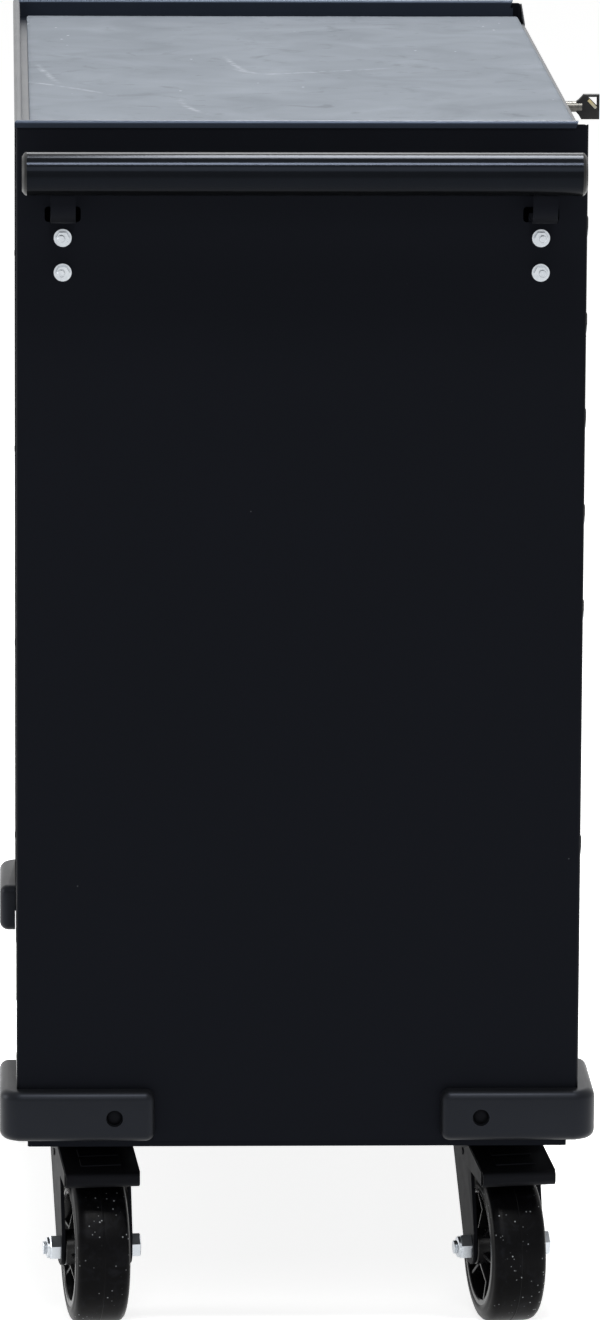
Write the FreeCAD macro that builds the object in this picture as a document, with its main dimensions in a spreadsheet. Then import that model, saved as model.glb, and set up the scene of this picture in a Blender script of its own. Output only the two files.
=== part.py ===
import FreeCAD, Part
import math
import os
import re
import Sketcher

# Rolling tool cabinet: six drawers on ball slides in a folded steel case, a padded worktop
# tray, a tube handle on the left side, a keyed lock that bars all drawers from behind, soft
# corner bumpers, and four casters of which the two under the handle swivel and brake.
# X runs across the width, the drawers open towards -Y, Z is up, and the floor is at Z = 0.
# The origin is the middle of the whole footprint, from handle to bumpers and from key to
# bumpers, so the case itself stands a little off it.

doc = FreeCAD.newDocument("rolling_tool_cabinet")
dims = doc.addObject("Spreadsheet::Sheet", "dims")

SIZES = {
    # Case
    "cabinet_width": 914, "cabinet_depth": 460, "panel_height": 838, "base_rise": 5,
    "sheet": 1.2, "bend_radius": 2.6, "post_width": 57, "post_return": 8, "post_drop": 14,
    "rear_flange": 15, "foot_flange": 20, "corner_round": 4, "fit_gap": 0.3,
    "foot_gap": 0.2,
    # Worktop tray and mat
    "hem_width": 6.2, "hem_rise": 3, "hem_lip": 6, "hem_end": 8, "hem_slant": 2.2,
    "tray_drop": 15.5, "mat_thick": 2, "mat_margin": 1.5, "mat_round": 4,
    "mat_back_gap": 6, "mat_front_gap": 4,
    # Rails above and below the drawers
    "top_rail_height": 80, "rail_gap": 3, "rail_flange": 20, "bottom_rail_height": 48,
    # Base pan
    "base_inset_x": 2, "base_inset_y": 9, "base_sheet": 2,
    # Drawers
    "shallow_pitch": 79, "drawer_gap": 3, "front_depth": 10, "front_sheet": 1,
    "box_sheet": 1, "box_floor_rise": 6, "shallow_box": 58, "deep_box_drop": 41,
    "box_hem": 6, "box_round": 2, "liner_thick": 1.5, "liner_gap": 1,
    "catch_width": 20, "catch_reach": 12, "catch_lip": 10,
    # Finger pull along the top of each drawer front
    "pull_reach": 4.6, "pull_wall": 1.4, "pull_lip": 16, "pull_nose": 5, "pull_recess": 25,
    "pull_ramp": 6, "pull_skirt": 36, "pull_proud": 1.2,
    # Ball slides
    "slide_length": 400, "slide_height": 36, "slide_depth": 12.7, "slide_sheet": 1.2,
    "slide_clear": 0.3, "slide_start": 14, "slide_above_floor": 29,
    "outer_reach": 10.7, "middle_reach": 7.8, "inner_reach": 7.9,
    "upright_width": 40, "upright_start": 16, "upright_foot": 12,
    # Handle on the left side
    "handle_reach": 57, "handle_drop": 33, "tube_radius": 17.5, "tube_wall": 1.5,
    "tube_half": 221.5, "cap_plug": 12, "cap_dome": 3.8, "cap_fit": 0.1,
    "arm_place": 192.5, "arm_width": 20, "arm_sheet": 3, "arm_bend": 16, "arm_foot": 130,
    "slot_length": 29, "slot_height": 12.5, "slot_drop": 73, "slot_round": 3, "bolt_drop_high": 92, "bolt_drop_low": 120,
    "bolt_neck": 6, "bolt_clear": 0.3, "bolt_flange": 7.2, "bolt_flange_thick": 1.6,
    "bolt_hex": 10, "bolt_nut": 5, "bolt_head": 3,
    # Corner bumpers
    "bumper_thick": 14, "bumper_height": 42, "bumper_arm": 127, "bumper_rise": 2,
    "bumper_round": 18, "bumper_edge": 4, "bumper_end": 8, "bumper_hole_place": 94,
    "bumper_hole_rise": 20, "bumper_hole_radius": 7, "bumper_hole_depth": 5,
    # Lock, key and drawer bar
    "lock_drop": 40, "lock_barrel": 9.5, "lock_bore": 5.5, "lock_flange": 11,
    "lock_flange_thick": 3.5, "lock_edge": 1, "lock_length": 24, "lock_nut_hex": 24,
    "lock_nut": 6,
    "plug_gap": 0.05, "plug_pin": 3, "plug_face": 6, "plug_length": 20, "pin_back": 0.5,
    "key_shank": 4.8, "key_fit": 0.08, "key_reach": 40, "key_head": 20, "key_height": 21.4,
    "key_thick": 7.2, "key_round": 1.8, "key_neck": 3.5, "key_collar": 6.2,
    "key_hole_edge": 2.6, "key_hole": 6.6,
    "rod_radius": 3, "crank_arm": 10, "crank_width": 9, "crank_thick": 2, "crank_pin": 2.5,
    "crank_pin_length": 5, "pin_clear": 1, "bar_width": 24, "bar_thick": 1.5, "bar_gap": 11.1,
    "bar_offset": 10, "bar_top": 7, "bar_tail": 49, "hook_gap": 0.56, "hook_height": 11,
    "hook_reach": 6.5, "guide_height": 12, "guide_wall": 6, "guide_front": 2.2,
    "guide_drop": 36, "bearing_width": 24, "bearing_thick": 10, "bearing_below": 8,
    "bearing_inset": 34,
    # Casters
    "wheel_radius": 63.5, "wheel_width": 46, "wheel_edge": 7, "wheel_rim": 49, "web_half": 8,
    "hub_radius": 15, "bore_fit": 0.08, "caster_head": 38, "caster_place_x": 352,
    "caster_place_y": 169,
    "plate_length": 100, "plate_width": 85, "plate_thick": 3.5, "plate_round": 8,
    "hole_clear": 0.2,
    "race_height": 9.5, "race_radius": 29,
    "kingpin_radius": 6, "kingpin_head": 11, "kingpin_head_thick": 3.2,
    "fork_sheet": 3, "fork_half": 29.5, "fork_front": 30, "fork_rear": 32,
    "fork_shoulder": 12, "fork_round": 8, "axle_offset": 35, "axle_radius": 6,
    "axle_boss": 14.5, "axle_hex": 19, "axle_head": 8, "axle_nut": 11.5, "axle_stub": 2.5,
    "rigid_half": 35,
    # Brake pedal
    "pedal_tip": 87, "pedal_start": 33, "pedal_top_drop": 1.6, "pedal_fall": 13,
    "pedal_lip": 12, "pedal_roll": 5, "pedal_hook": 8, "pedal_sheet": 1.6, "pedal_half": 31.4,
    "pedal_side": 1.5, "pedal_step_half": 16.5, "pedal_step": 1.2, "pedal_pin": 3,
    "step_near": 44, "step_far": 61, "step_length": 12,
    "pedal_pin_x": 14, "pedal_pin_drop": 12, "pedal_heel": 8, "shoe_half": 19,
    "shoe_near": 46, "shoe_far": 62, "shoe_gap": 4.5, "shoe_fall": 2.1,
}

for row, (name, number) in enumerate(SIZES.items(), start=1):
    dims.set(f"A{row}", name)
    dims.set(f"B{row}", str(number))
    dims.setAlias(f"B{row}", name)
doc.recompute()

# Counts and angles that stay as they are
SHALLOW_DRAWERS = 4
DEEP_DRAWERS = 2
SWIVEL_FRONT = 10
SWIVEL_REAR = 6.6

# Places that several pieces share, as texts over the sheet
half_width = "cabinet_width / 2"
half_depth = "cabinet_depth / 2"
base = "(2 * wheel_radius + caster_head)"
foot = f"({base} + base_rise)"
top = f"({foot} + panel_height)"
tray_floor = f"({top} - tray_drop + mat_thick)"
rail_under = f"({top} - top_rail_height + rail_gap)"
rail_over = f"({foot} + bottom_rail_height)"
opening = f"({half_width} - post_width)"
back_inner = f"({half_depth} - 2 * sheet)"
lock_height = f"({top} - lock_drop)"
deep_pitch = (
    f"(({top} - top_rail_height - {rail_over} - {SHALLOW_DRAWERS} * shallow_pitch)"
    f" / {DEEP_DRAWERS})"
)
slide_outer_face = f"({opening} + sheet)"
box_half = f"({slide_outer_face} - slide_depth)"
slide_front = f"(-{half_depth} + slide_start)"
box_back = f"({slide_front} + slide_length + 1)"
crown = f"({base} - plate_thick - race_height)"
handle_height = f"({top} - handle_drop)"
slot_middle = f"({top} - slot_drop)"
bar_front = f"({back_inner} - bar_gap - bar_thick)"
crank_fall = "(crank_arm * sqrt(0.5))"
bar_lift = "(2 * crank_arm * sqrt(0.5))"

# From the middle of the case to the middle of the footprint
middle_x = "((handle_reach + tube_radius - bumper_thick) / 2)"
middle_y = "((key_reach - bumper_thick) / 2)"

pieces = []


def full(text):
    """A size as the document reads it: each named value is looked up on the sheet."""
    return re.sub(r"\b([a-z][a-z0-9_]*)\b(?!\()", r"dims.\1", str(text))


def value(text):
    """A size in millimetres."""
    return float(dims.evalExpression(full(text)))


def bind(thing, path, text):
    """Tie one property to the sheet, where its text names a value there."""
    if re.search("[a-z]", str(text)):
        thing.setExpression(path, full(text))


def new_piece(name, x=0, y=0, z=0, turn=0, loose=False):
    """A body that stands at x, y, z in the case and is turned about Z by turn degrees.
    A loose one isn't a piece by itself, but is used in one."""
    body = doc.addObject("PartDesign::Body", name)
    body.Label = name
    place_x = f"{middle_x} + {x}"
    place_y = f"{middle_y} + {y}"
    where = FreeCAD.Vector(value(place_x), value(place_y), value(z))
    body.Placement = FreeCAD.Placement(where, FreeCAD.Rotation(FreeCAD.Vector(0, 0, 1), turn))
    bind(body, "Placement.Base.x", place_x)
    bind(body, "Placement.Base.y", place_y)
    bind(body, "Placement.Base.z", z)
    if not loose:
        pieces.append(body)
    return body


def fix(sketch, geometry, point, x, y):
    """Hold one point of a sketch at x, y."""
    for kind, text in (("DistanceX", x), ("DistanceY", y)):
        held = sketch.addConstraint(Sketcher.Constraint(kind, -1, 1, geometry, point, value(text)))
        bind(sketch, f"Constraints[{held}]", text)


def draw_outline(sketch, corners):
    """A closed outline through corners (x, y) or, where one is rounded, (x, y, radius)."""
    count = len(corners)
    places = [FreeCAD.Vector(value(corner[0]), value(corner[1]), 0) for corner in corners]
    entries, exits, arcs = [], [], {}
    for i, corner in enumerate(corners):
        back = (places[i - 1] - places[i]).normalize()
        ahead = (places[(i + 1) % count] - places[i]).normalize()
        if len(corner) == 2:
            entries.append(places[i])
            exits.append(places[i])
            continue
        radius = value(corner[2])
        half_angle = back.getAngle(ahead) / 2
        setback = radius / math.tan(half_angle)
        centre = places[i] + (back + ahead).normalize() * (radius / math.sin(half_angle))
        entry = places[i] + back * setback
        leave = places[i] + ahead * setback
        left_turn = back.y * ahead.x - back.x * ahead.y > 0
        first, last = (entry, leave) if left_turn else (leave, entry)
        start = math.atan2(first.y - centre.y, first.x - centre.x)
        sweep = math.atan2(last.y - centre.y, last.x - centre.x) - start
        circle = Part.Circle(centre, FreeCAD.Vector(0, 0, 1), radius)
        arc = Part.ArcOfCircle(circle, start, start + sweep % (2 * math.pi))
        arcs[i] = (sketch.addGeometry(arc), 1 if left_turn else 2, 2 if left_turn else 1)
        entries.append(entry)
        exits.append(leave)
    lines = []
    for i in range(count):
        line = Part.LineSegment(exits[i], entries[(i + 1) % count])
        lines.append(sketch.addGeometry(line))
    for i, corner in enumerate(corners):
        before, after = lines[i - 1], lines[i]
        if i not in arcs:
            sketch.addConstraint(Sketcher.Constraint("Coincident", before, 2, after, 1))
            fix(sketch, after, 1, corner[0], corner[1])
            continue
        arc, first, last = arcs[i]
        mark = sketch.addGeometry(Part.Point(places[i]), True)
        fix(sketch, mark, 1, corner[0], corner[1])
        sketch.addConstraint(Sketcher.Constraint("Tangent", before, 2, arc, first))
        sketch.addConstraint(Sketcher.Constraint("Tangent", arc, last, after, 1))
        sketch.addConstraint(Sketcher.Constraint("PointOnObject", mark, 1, before))
        sketch.addConstraint(Sketcher.Constraint("PointOnObject", mark, 1, after))
        held = sketch.addConstraint(Sketcher.Constraint("Radius", arc, value(corner[2])))
        bind(sketch, f"Constraints[{held}]", corner[2])


def draw_ring(sketch, x, y, radius):
    """A circle round x, y."""
    centre = FreeCAD.Vector(value(x), value(y), 0)
    circle = Part.Circle(centre, FreeCAD.Vector(0, 0, 1), value(radius))
    ring = sketch.addGeometry(circle)
    fix(sketch, ring, 3, x, y)
    held = sketch.addConstraint(Sketcher.Constraint("Radius", ring, value(radius)))
    bind(sketch, f"Constraints[{held}]", radius)


def new_sketch(body, plane, place, outlines, rings=()):
    """A sketch on one of the body's own planes, moved along that plane's axis to place."""
    sketch = body.newObject("Sketcher::SketchObject", f"{body.Name}_sketch")
    planes = {feature.Role: feature for feature in body.Origin.OriginFeatures}
    sketch.AttachmentSupport = [(planes[f"{plane}_Plane"], "")]
    sketch.MapMode = "FlatFace"
    offset = f"-({place})" if plane == "XZ" else place
    lift = FreeCAD.Vector(0, 0, value(offset))
    sketch.AttachmentOffset = FreeCAD.Placement(lift, FreeCAD.Rotation())
    bind(sketch, "AttachmentOffset.Base.z", offset)
    for corners in outlines:
        draw_outline(sketch, corners)
    for ring in rings:
        draw_ring(sketch, *ring)
    return sketch


def extrude(kind, body, plane, start, length, outlines, rings):
    """A Pad or Pocket from start, over length, along the axis that crosses the plane."""
    feature = body.newObject(f"PartDesign::{kind}", f"{body.Name}_{kind.lower()}")
    feature.Profile = new_sketch(body, plane, start, outlines, rings)
    feature.Length = value(length)
    bind(feature, "Length", length)
    feature.Reversed = (plane == "XZ") == (kind == "Pad")
    return feature


def pad(body, plane, start, length, outlines=(), rings=()):
    """Add a straight solid."""
    return extrude("Pad", body, plane, start, length, outlines, rings)


def cut(body, plane, start, length, outlines=(), rings=()):
    """Take a straight solid away."""
    return extrude("Pocket", body, plane, start, length, outlines, rings)


def spin(body, plane, axis, outlines):
    """Add a solid of revolution about the sketch's own axis, H_Axis or V_Axis."""
    sketch = new_sketch(body, plane, 0, outlines)
    feature = body.newObject("PartDesign::Revolution", f"{body.Name}_revolution")
    feature.Profile = sketch
    feature.ReferenceAxis = (sketch, [axis])
    feature.Angle = 360
    return feature


def box(x_low, x_high, y_low, y_high, radius=None):
    """The corners of a rectangle, rounded where a radius is given."""
    corners = [(x_low, y_low), (x_high, y_low), (x_high, y_high), (x_low, y_high)]
    if radius is None:
        return corners
    return [corner + (radius,) for corner in corners]


def hexagon(x, y, across_flats):
    """The corners of a hexagon with two flats level."""
    corners = []
    for i in range(6):
        angle = math.radians(60 * i)
        reach = f"({across_flats}) / sqrt(3)"
        corners.append((f"{x} + {reach} * {math.cos(angle):.9f}",
                        f"{y} + {reach} * {math.sin(angle):.9f}"))
    return corners


def square(x, y, half):
    """The corners of a square round x, y."""
    return box(f"{x} - ({half})", f"{x} + ({half})", f"{y} - ({half})", f"{y} + ({half})")


def both_ways(text):
    """A size to the left and to the right of the middle."""
    return f"-({text})", f"({text})"


# Side panels: one sheet each, folded into a wide front post whose top slopes down to the
# worktop, a narrow flange behind, and a foot that stands on the base pan.
def side_panel(name, side):
    body = new_piece(name)

    def out(text):
        return f"{side} * ({text})"

    wall = f"{half_width} - sheet"
    post = f"{half_width} - post_width"
    front = f"-({half_depth})"
    plan = [
        (out(half_width), front, "bend_radius"),
        (out(half_width), half_depth, "bend_radius"),
        (out(f"{half_width} - rear_flange"), half_depth),
        (out(f"{half_width} - rear_flange"), f"{half_depth} - sheet"),
        (out(wall), f"{half_depth} - sheet", "bend_radius - sheet"),
        (out(wall), f"{front} + sheet", "bend_radius - sheet"),
        (out(f"{post} + sheet"), f"{front} + sheet", "bend_radius - sheet"),
        (out(f"{post} + sheet"), f"{front} + post_return"),
        (out(post), f"{front} + post_return"),
        (out(post), front, "bend_radius"),
    ]
    pad(body, "XY", foot, "panel_height", [plan])
    foot_edge = f"{half_width} - foot_flange"
    pad(body, "XY", foot, "sheet", [
        box(out(foot_edge), out(f"{wall} + sheet / 2"), f"{front} + bend_radius",
            f"{back_inner} - foot_gap"),
    ])
    slope = [
        (out(wall), top),
        (out(f"{post} - 1"), f"{top} - post_drop"),
        (out(f"{post} - 1"), f"{top} + 1"),
        (out(wall), f"{top} + 1"),
    ]
    cut(body, "XZ", f"{front} - 1", "post_return + 2", [slope])
    corner = [
        (f"{front} - 1", f"{top} + 1"),
        (f"{front} + 2 * corner_round", f"{top} + 1"),
        (f"{front} + 2 * corner_round", top),
        (front, top, "corner_round"),
        (front, f"{top} - 2 * corner_round"),
        (f"{front} - 1", f"{top} - 2 * corner_round"),
    ]
    start = f"{half_width} - bend_radius" if side > 0 else f"-({half_width}) - 1"
    cut(body, "YZ", start, "bend_radius + 1", [corner])
    return body


side_panel("side_panel_right", 1)
left_panel = side_panel("side_panel_left", -1)
arm_places = both_ways("arm_place")
slots = []
for place in arm_places:
    slots.append(box(f"{place} - slot_length / 2", f"{place} + slot_length / 2",
                     f"{slot_middle} - slot_height / 2", f"{slot_middle} + slot_height / 2",
                     "slot_round"))
cut(left_panel, "YZ", f"-({half_width}) - 1", "sheet + 2", slots)

# Back panel: a sheet inside the side panels' rear flanges, with three pressed beads and a
# foot on the base pan. The worktop's hem closes over its upper edge.
back_panel = new_piece("back_panel")
back_half = f"({half_width} - bend_radius - fit_gap)"
pad(back_panel, "XZ", back_inner, "sheet",
    [box(*both_ways(back_half), foot, top)])
pad(back_panel, "XY", foot, "sheet",
    [box(*both_ways(f"{half_width} - foot_flange - 1"), f"{back_inner} - foot_flange",
         f"{back_inner} + sheet / 2")])
beads = []
for share in (-0.5, 0, 0.5):
    middle = f"{share} * {half_width}"
    beads.append(box(f"{middle} - bumper_hole_radius", f"{middle} + bumper_hole_radius",
                     f"{foot} + bottom_rail_height + foot_flange",
                     f"{top} - top_rail_height", "bend_radius"))
pad(back_panel, "XZ", f"{back_inner} + sheet", "sheet", beads)

# Worktop tray: the floor turns down over the drawers as an apron that carries the lock, and
# on the other three sides turns up into a rolled hem that closes over the panels' edges.
top_tray = new_piece("top_tray")
hem_middle = f"({half_width} + sheet - hem_width / 2)"
hem_back = f"({half_depth} + sheet - hem_width / 2)"
hem_front = f"-{half_depth} + hem_end"
hem_top = f"({top} + hem_rise)"


def hem_corners(middle):
    inner = "hem_width / 2 - sheet"
    return [
        (f"{middle} + hem_width / 2", f"{tray_floor} - sheet"),
        (f"{middle} + hem_width / 2", hem_top, "hem_width / 2 - 0.1"),
        (f"{middle} - hem_width / 2", hem_top, "hem_width / 2 - 0.1"),
        (f"{middle} - hem_width / 2", f"{hem_top} - hem_lip"),
        (f"{middle} - ({inner})", f"{hem_top} - hem_lip"),
        (f"{middle} - ({inner})", f"{hem_top} - sheet", f"{inner} - 0.1"),
        (f"{middle} + {inner}", f"{hem_top} - sheet", f"{inner} - 0.1"),
        (f"{middle} + {inner}", f"{tray_floor} - sheet"),
    ]


hem_profile = new_sketch(top_tray, "XZ", hem_front, [hem_corners(f"-{hem_middle}")])
hem_path = new_sketch(top_tray, "XY", hem_top, [])
path_points = [(f"-{hem_middle}", hem_front), (f"-{hem_middle}", hem_back),
               (hem_middle, hem_back), (hem_middle, hem_front)]
for start, end in zip(path_points, path_points[1:]):
    places = [FreeCAD.Vector(value(x), value(y), 0) for x, y in (start, end)]
    line = hem_path.addGeometry(Part.LineSegment(*places))
    if line:
        hem_path.addConstraint(Sketcher.Constraint("Coincident", line - 1, 2, line, 1))
    fix(hem_path, line, 1, *start)
fix(hem_path, line, 2, *end)
hem = top_tray.newObject("PartDesign::AdditivePipe", "hem")
hem.Profile = hem_profile
hem.Spine = (hem_path, ["Edge1", "Edge2", "Edge3"])
hem.Transition = "Right corner"
tray_wall = f"({hem_middle} - hem_width / 2 + sheet / 2)"
tray_notch = f"-{half_depth} + post_return + fit_gap"
pad(top_tray, "XY", f"{tray_floor} - sheet", "sheet", [
    box(*both_ways(tray_wall), tray_notch, f"{hem_back} - hem_width / 2 + sheet / 2"),
])
apron = [
    (f"{tray_notch} + 1", f"{tray_floor} - sheet"),
    (f"{tray_notch} + 1", tray_floor),
    (f"-{half_depth}", tray_floor, "bend_radius"),
    (f"-{half_depth}", rail_under),
    (f"-{half_depth} + sheet", rail_under),
    (f"-{half_depth} + sheet", f"{tray_floor} - sheet", "bend_radius - sheet"),
]
pad(top_tray, "YZ", f"-{opening} + fit_gap", f"2 * {opening} - 2 * fit_gap", [apron])
cut(top_tray, "XZ", f"-{half_depth} - 1", "sheet + 2",
    rings=[(0, lock_height, "lock_barrel + hole_clear")])
hem_cut = [
    (f"{hem_front} - 1", f"{hem_top} - hem_lip - 1"),
    (f"{hem_front} + hem_slant * (1 + 1 / hem_lip)", f"{hem_top} - hem_lip - 1"),
    (f"{hem_front} - hem_slant / hem_lip", f"{hem_top} + 1"),
    (f"{hem_front} - 1", f"{hem_top} + 1"),
]
for side in both_ways(hem_middle):
    cut(top_tray, "YZ", f"{side} - hem_width / 2 - 1", "hem_width + 2", [hem_cut])

# Mat: a foam sheet that lies loose in the tray
top_mat = new_piece("top_mat")
pad(top_mat, "XY", tray_floor, "mat_thick", [
    box(*both_ways(f"{hem_middle} - hem_width / 2 - mat_margin"),
        f"-{half_depth} + mat_front_gap", f"{hem_back} - hem_width / 2 - mat_back_gap",
        "mat_round"),
])

# Base pan: a shallow pan whose lip the side panels, back panel and bottom rail stand on
base_pan = new_piece("base_pan")
base_x = f"({half_width} - base_inset_x)"
base_y = f"({half_depth} - base_inset_y)"
pad(base_pan, "XY", base, "base_rise", [
    box(*both_ways(base_x), *both_ways(base_y), "bend_radius"),
])
cut(base_pan, "XY", f"{base} + base_sheet", "base_rise", [
    box(*both_ways(f"{base_x} - base_sheet"), *both_ways(f"{base_y} - base_sheet")),
])

# Rails: a channel behind the apron that stiffens it and takes the lock's nut, and a channel
# below the drawers that joins the two front posts.
rail_half = f"{opening} - 2 * fit_gap"
front_rail_top = new_piece("front_rail_top")
rail_face = f"-{half_depth} + sheet"
pad(front_rail_top, "YZ", f"-({rail_half})", f"2 * ({rail_half})", [[
    (rail_face, rail_under),
    (f"{rail_face} + rail_flange", rail_under),
    (f"{rail_face} + rail_flange", f"{rail_under} + sheet"),
    (f"{rail_face} + sheet", f"{rail_under} + sheet"),
    (f"{rail_face} + sheet", f"{tray_floor} - 2 * sheet"),
    (f"{rail_face} + rail_flange", f"{tray_floor} - 2 * sheet"),
    (f"{rail_face} + rail_flange", f"{tray_floor} - sheet"),
    (rail_face, f"{tray_floor} - sheet", "bend_radius"),
]])
cut(front_rail_top, "XZ", f"{rail_face} - 1", "sheet + 2",
    rings=[(0, lock_height, "lock_barrel + hole_clear")])

front_rail_bottom = new_piece("front_rail_bottom")
rail_face = f"-{half_depth}"
pad(front_rail_bottom, "YZ", f"-({rail_half})", f"2 * ({rail_half})", [[
    (rail_face, foot),
    (f"{rail_face} + rail_flange", foot),
    (f"{rail_face} + rail_flange", f"{foot} + sheet"),
    (f"{rail_face} + sheet", f"{foot} + sheet"),
    (f"{rail_face} + sheet", f"{rail_over} - sheet", "bend_radius - sheet"),
    (f"{rail_face} + rail_flange", f"{rail_over} - sheet"),
    (f"{rail_face} + rail_flange", rail_over),
    (rail_face, rail_over, "bend_radius"),
]])

# Uprights: four hat-section posts welded inside the side panels, which carry the slides
slide_uprights = new_piece("slide_uprights")
hats = []
for side in (-1, 1):
    for end in (-1, 1):
        outer = f"{half_depth} - upright_start"
        inner = f"{outer} - upright_width"
        face = f"{half_width} - sheet"
        web = slide_outer_face
        hats.append([(f"{side} * ({x})", f"{end} * ({y})") for x, y in (
            (face, f"{outer} + upright_foot"),
            (face, f"{outer} - sheet"),
            (f"{web} + sheet", f"{outer} - sheet"),
            (f"{web} + sheet", f"{inner} + sheet"),
            (face, f"{inner} + sheet"),
            (face, f"{inner} - upright_foot"),
            (f"{face} - sheet", f"{inner} - upright_foot"),
            (f"{face} - sheet", inner),
            (web, inner),
            (web, outer),
            (f"{face} - sheet", outer),
            (f"{face} - sheet", f"{outer} + upright_foot"),
        )])
pad(slide_uprights, "XY", f"{foot} + sheet", f"{tray_floor} - {foot} - 3 * sheet", hats)


# Drawers: their fronts fill the opening between the rails
def drawer_top(number):
    """Height of the upper edge of a drawer's front, counted from the top drawer, 1."""
    shallow = min(number - 1, SHALLOW_DRAWERS)
    deep = number - 1 - shallow
    return f"({top} - top_rail_height - {shallow} * shallow_pitch - {deep} * {deep_pitch})"


def drawer_height(number):
    """Height of a drawer's front."""
    if number <= SHALLOW_DRAWERS:
        return "(shallow_pitch - drawer_gap)"
    return f"({deep_pitch} - drawer_gap)"


def box_floor(number):
    """Height of the underside of a drawer's box."""
    return f"({drawer_top(number)} - {drawer_height(number)} + box_floor_rise)"


def box_top(number):
    """Height of the upper edge of a drawer's box."""
    if number <= SHALLOW_DRAWERS:
        return f"({box_floor(number)} + shallow_box)"
    return f"({drawer_top(number)} - deep_box_drop)"


def slide_channel(side, web, reach, half, middle):
    """Section of one slide member: a web that stands at web, and flanges with a signed reach."""
    step = "-slide_sheet" if reach.startswith("-") else "slide_sheet"
    far = f"{web} + {reach}"
    return [(f"{side} * ({x})", f"{middle} + {z}") for x, z in (
        (web, f"-({half})"),
        (far, f"-({half})"),
        (far, f"-({half}) + slide_sheet"),
        (f"{web} + {step}", f"-({half}) + slide_sheet"),
        (f"{web} + {step}", f"({half}) - slide_sheet"),
        (far, f"({half}) - slide_sheet"),
        (far, f"({half})"),
        (web, f"({half})"),
    )]


# The three nested members of a slide: where the web's far face stands and half the height.
# The flanges of the outer and middle members reach inwards, and the inner one's outwards.
outer_half = "slide_height / 2"
middle_half = f"({outer_half} - slide_sheet - slide_clear)"
inner_half = f"({middle_half} - slide_sheet - slide_clear)"
middle_web = f"({slide_outer_face} - 2 * slide_sheet)"

drawer_numbers = range(1, SHALLOW_DRAWERS + DEEP_DRAWERS + 1)
slide_outer_members = new_piece("slide_outer_members")
for number in drawer_numbers:
    level = f"({box_floor(number)} + slide_above_floor)"
    sections = [slide_channel(side, slide_outer_face, "-outer_reach", outer_half, level)
                for side in (-1, 1)]
    pad(slide_outer_members, "XZ", slide_front, "slide_length", sections)


def drawer_box(number):
    """Folded tray, pan-formed front, the slides' inner members and the catch behind."""
    body = new_piece(f"drawer_{number}_box")
    low = box_floor(number)
    high = box_top(number)
    front_top = drawer_top(number)
    front_low = f"({front_top} - {drawer_height(number)})"
    door_back = f"(-{half_depth} + front_depth)"
    door_half = f"({opening} - drawer_gap)"
    trough = [
        (f"-{box_half}", high), (f"-{box_half}", low, "box_round"),
        (box_half, low, "box_round"), (box_half, high),
        (f"{box_half} - box_hem", high), (f"{box_half} - box_hem", f"{high} - box_sheet"),
        (f"{box_half} - box_sheet", f"{high} - box_sheet"),
        (f"{box_half} - box_sheet", f"{low} + box_sheet"),
        (f"-{box_half} + box_sheet", f"{low} + box_sheet"),
        (f"-{box_half} + box_sheet", f"{high} - box_sheet"),
        (f"-{box_half} + box_hem", f"{high} - box_sheet"), (f"-{box_half} + box_hem", high),
    ]
    pad(body, "XZ", f"{door_back} + box_sheet / 2", f"{box_back} - {door_back} - box_sheet / 2",
        [trough])
    pad(body, "XZ", f"{box_back} - box_sheet", "box_sheet",
        [box(*both_ways(f"{box_half} - box_sheet / 2"), f"{low} + box_sheet / 2", high)])
    pad(body, "XZ", door_back, "box_sheet",
        [box(*both_ways(door_half), front_low, f"{front_top} - 2")])
    skin_top = f"{front_top} - pull_recess - pull_ramp - pull_wall"
    pad(body, "XZ", f"-{half_depth}", "front_sheet",
        [box(*both_ways(door_half), front_low, skin_top)])
    rim = [
        (f"-{door_half}", skin_top), (f"-{door_half}", front_low), (door_half, front_low),
        (door_half, skin_top), (f"{door_half} - front_sheet", skin_top),
        (f"{door_half} - front_sheet", f"{front_low} + front_sheet"),
        (f"-{door_half} + front_sheet", f"{front_low} + front_sheet"),
        (f"-{door_half} + front_sheet", skin_top),
    ]
    pad(body, "XZ", f"-{half_depth} + front_sheet / 2", "front_depth", [rim])
    level = f"({low} + slide_above_floor)"
    sections = [slide_channel(side, box_half, "inner_reach", inner_half, level)
                for side in (-1, 1)]
    pad(body, "XZ", slide_front, "slide_length", sections)
    catch_far = f"{box_back} + catch_reach"
    catch = [
        (f"{box_back} - box_sheet / 2", high), (catch_far, high),
        (catch_far, f"{high} - catch_lip - sheet"),
        (f"{catch_far} - sheet", f"{high} - catch_lip - sheet"),
        (f"{catch_far} - sheet", f"{high} - sheet"),
        (f"{box_back} - box_sheet / 2", f"{high} - sheet"),
    ]
    pad(body, "YZ", "-bar_offset - catch_width / 2", "catch_width", [catch])


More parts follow.
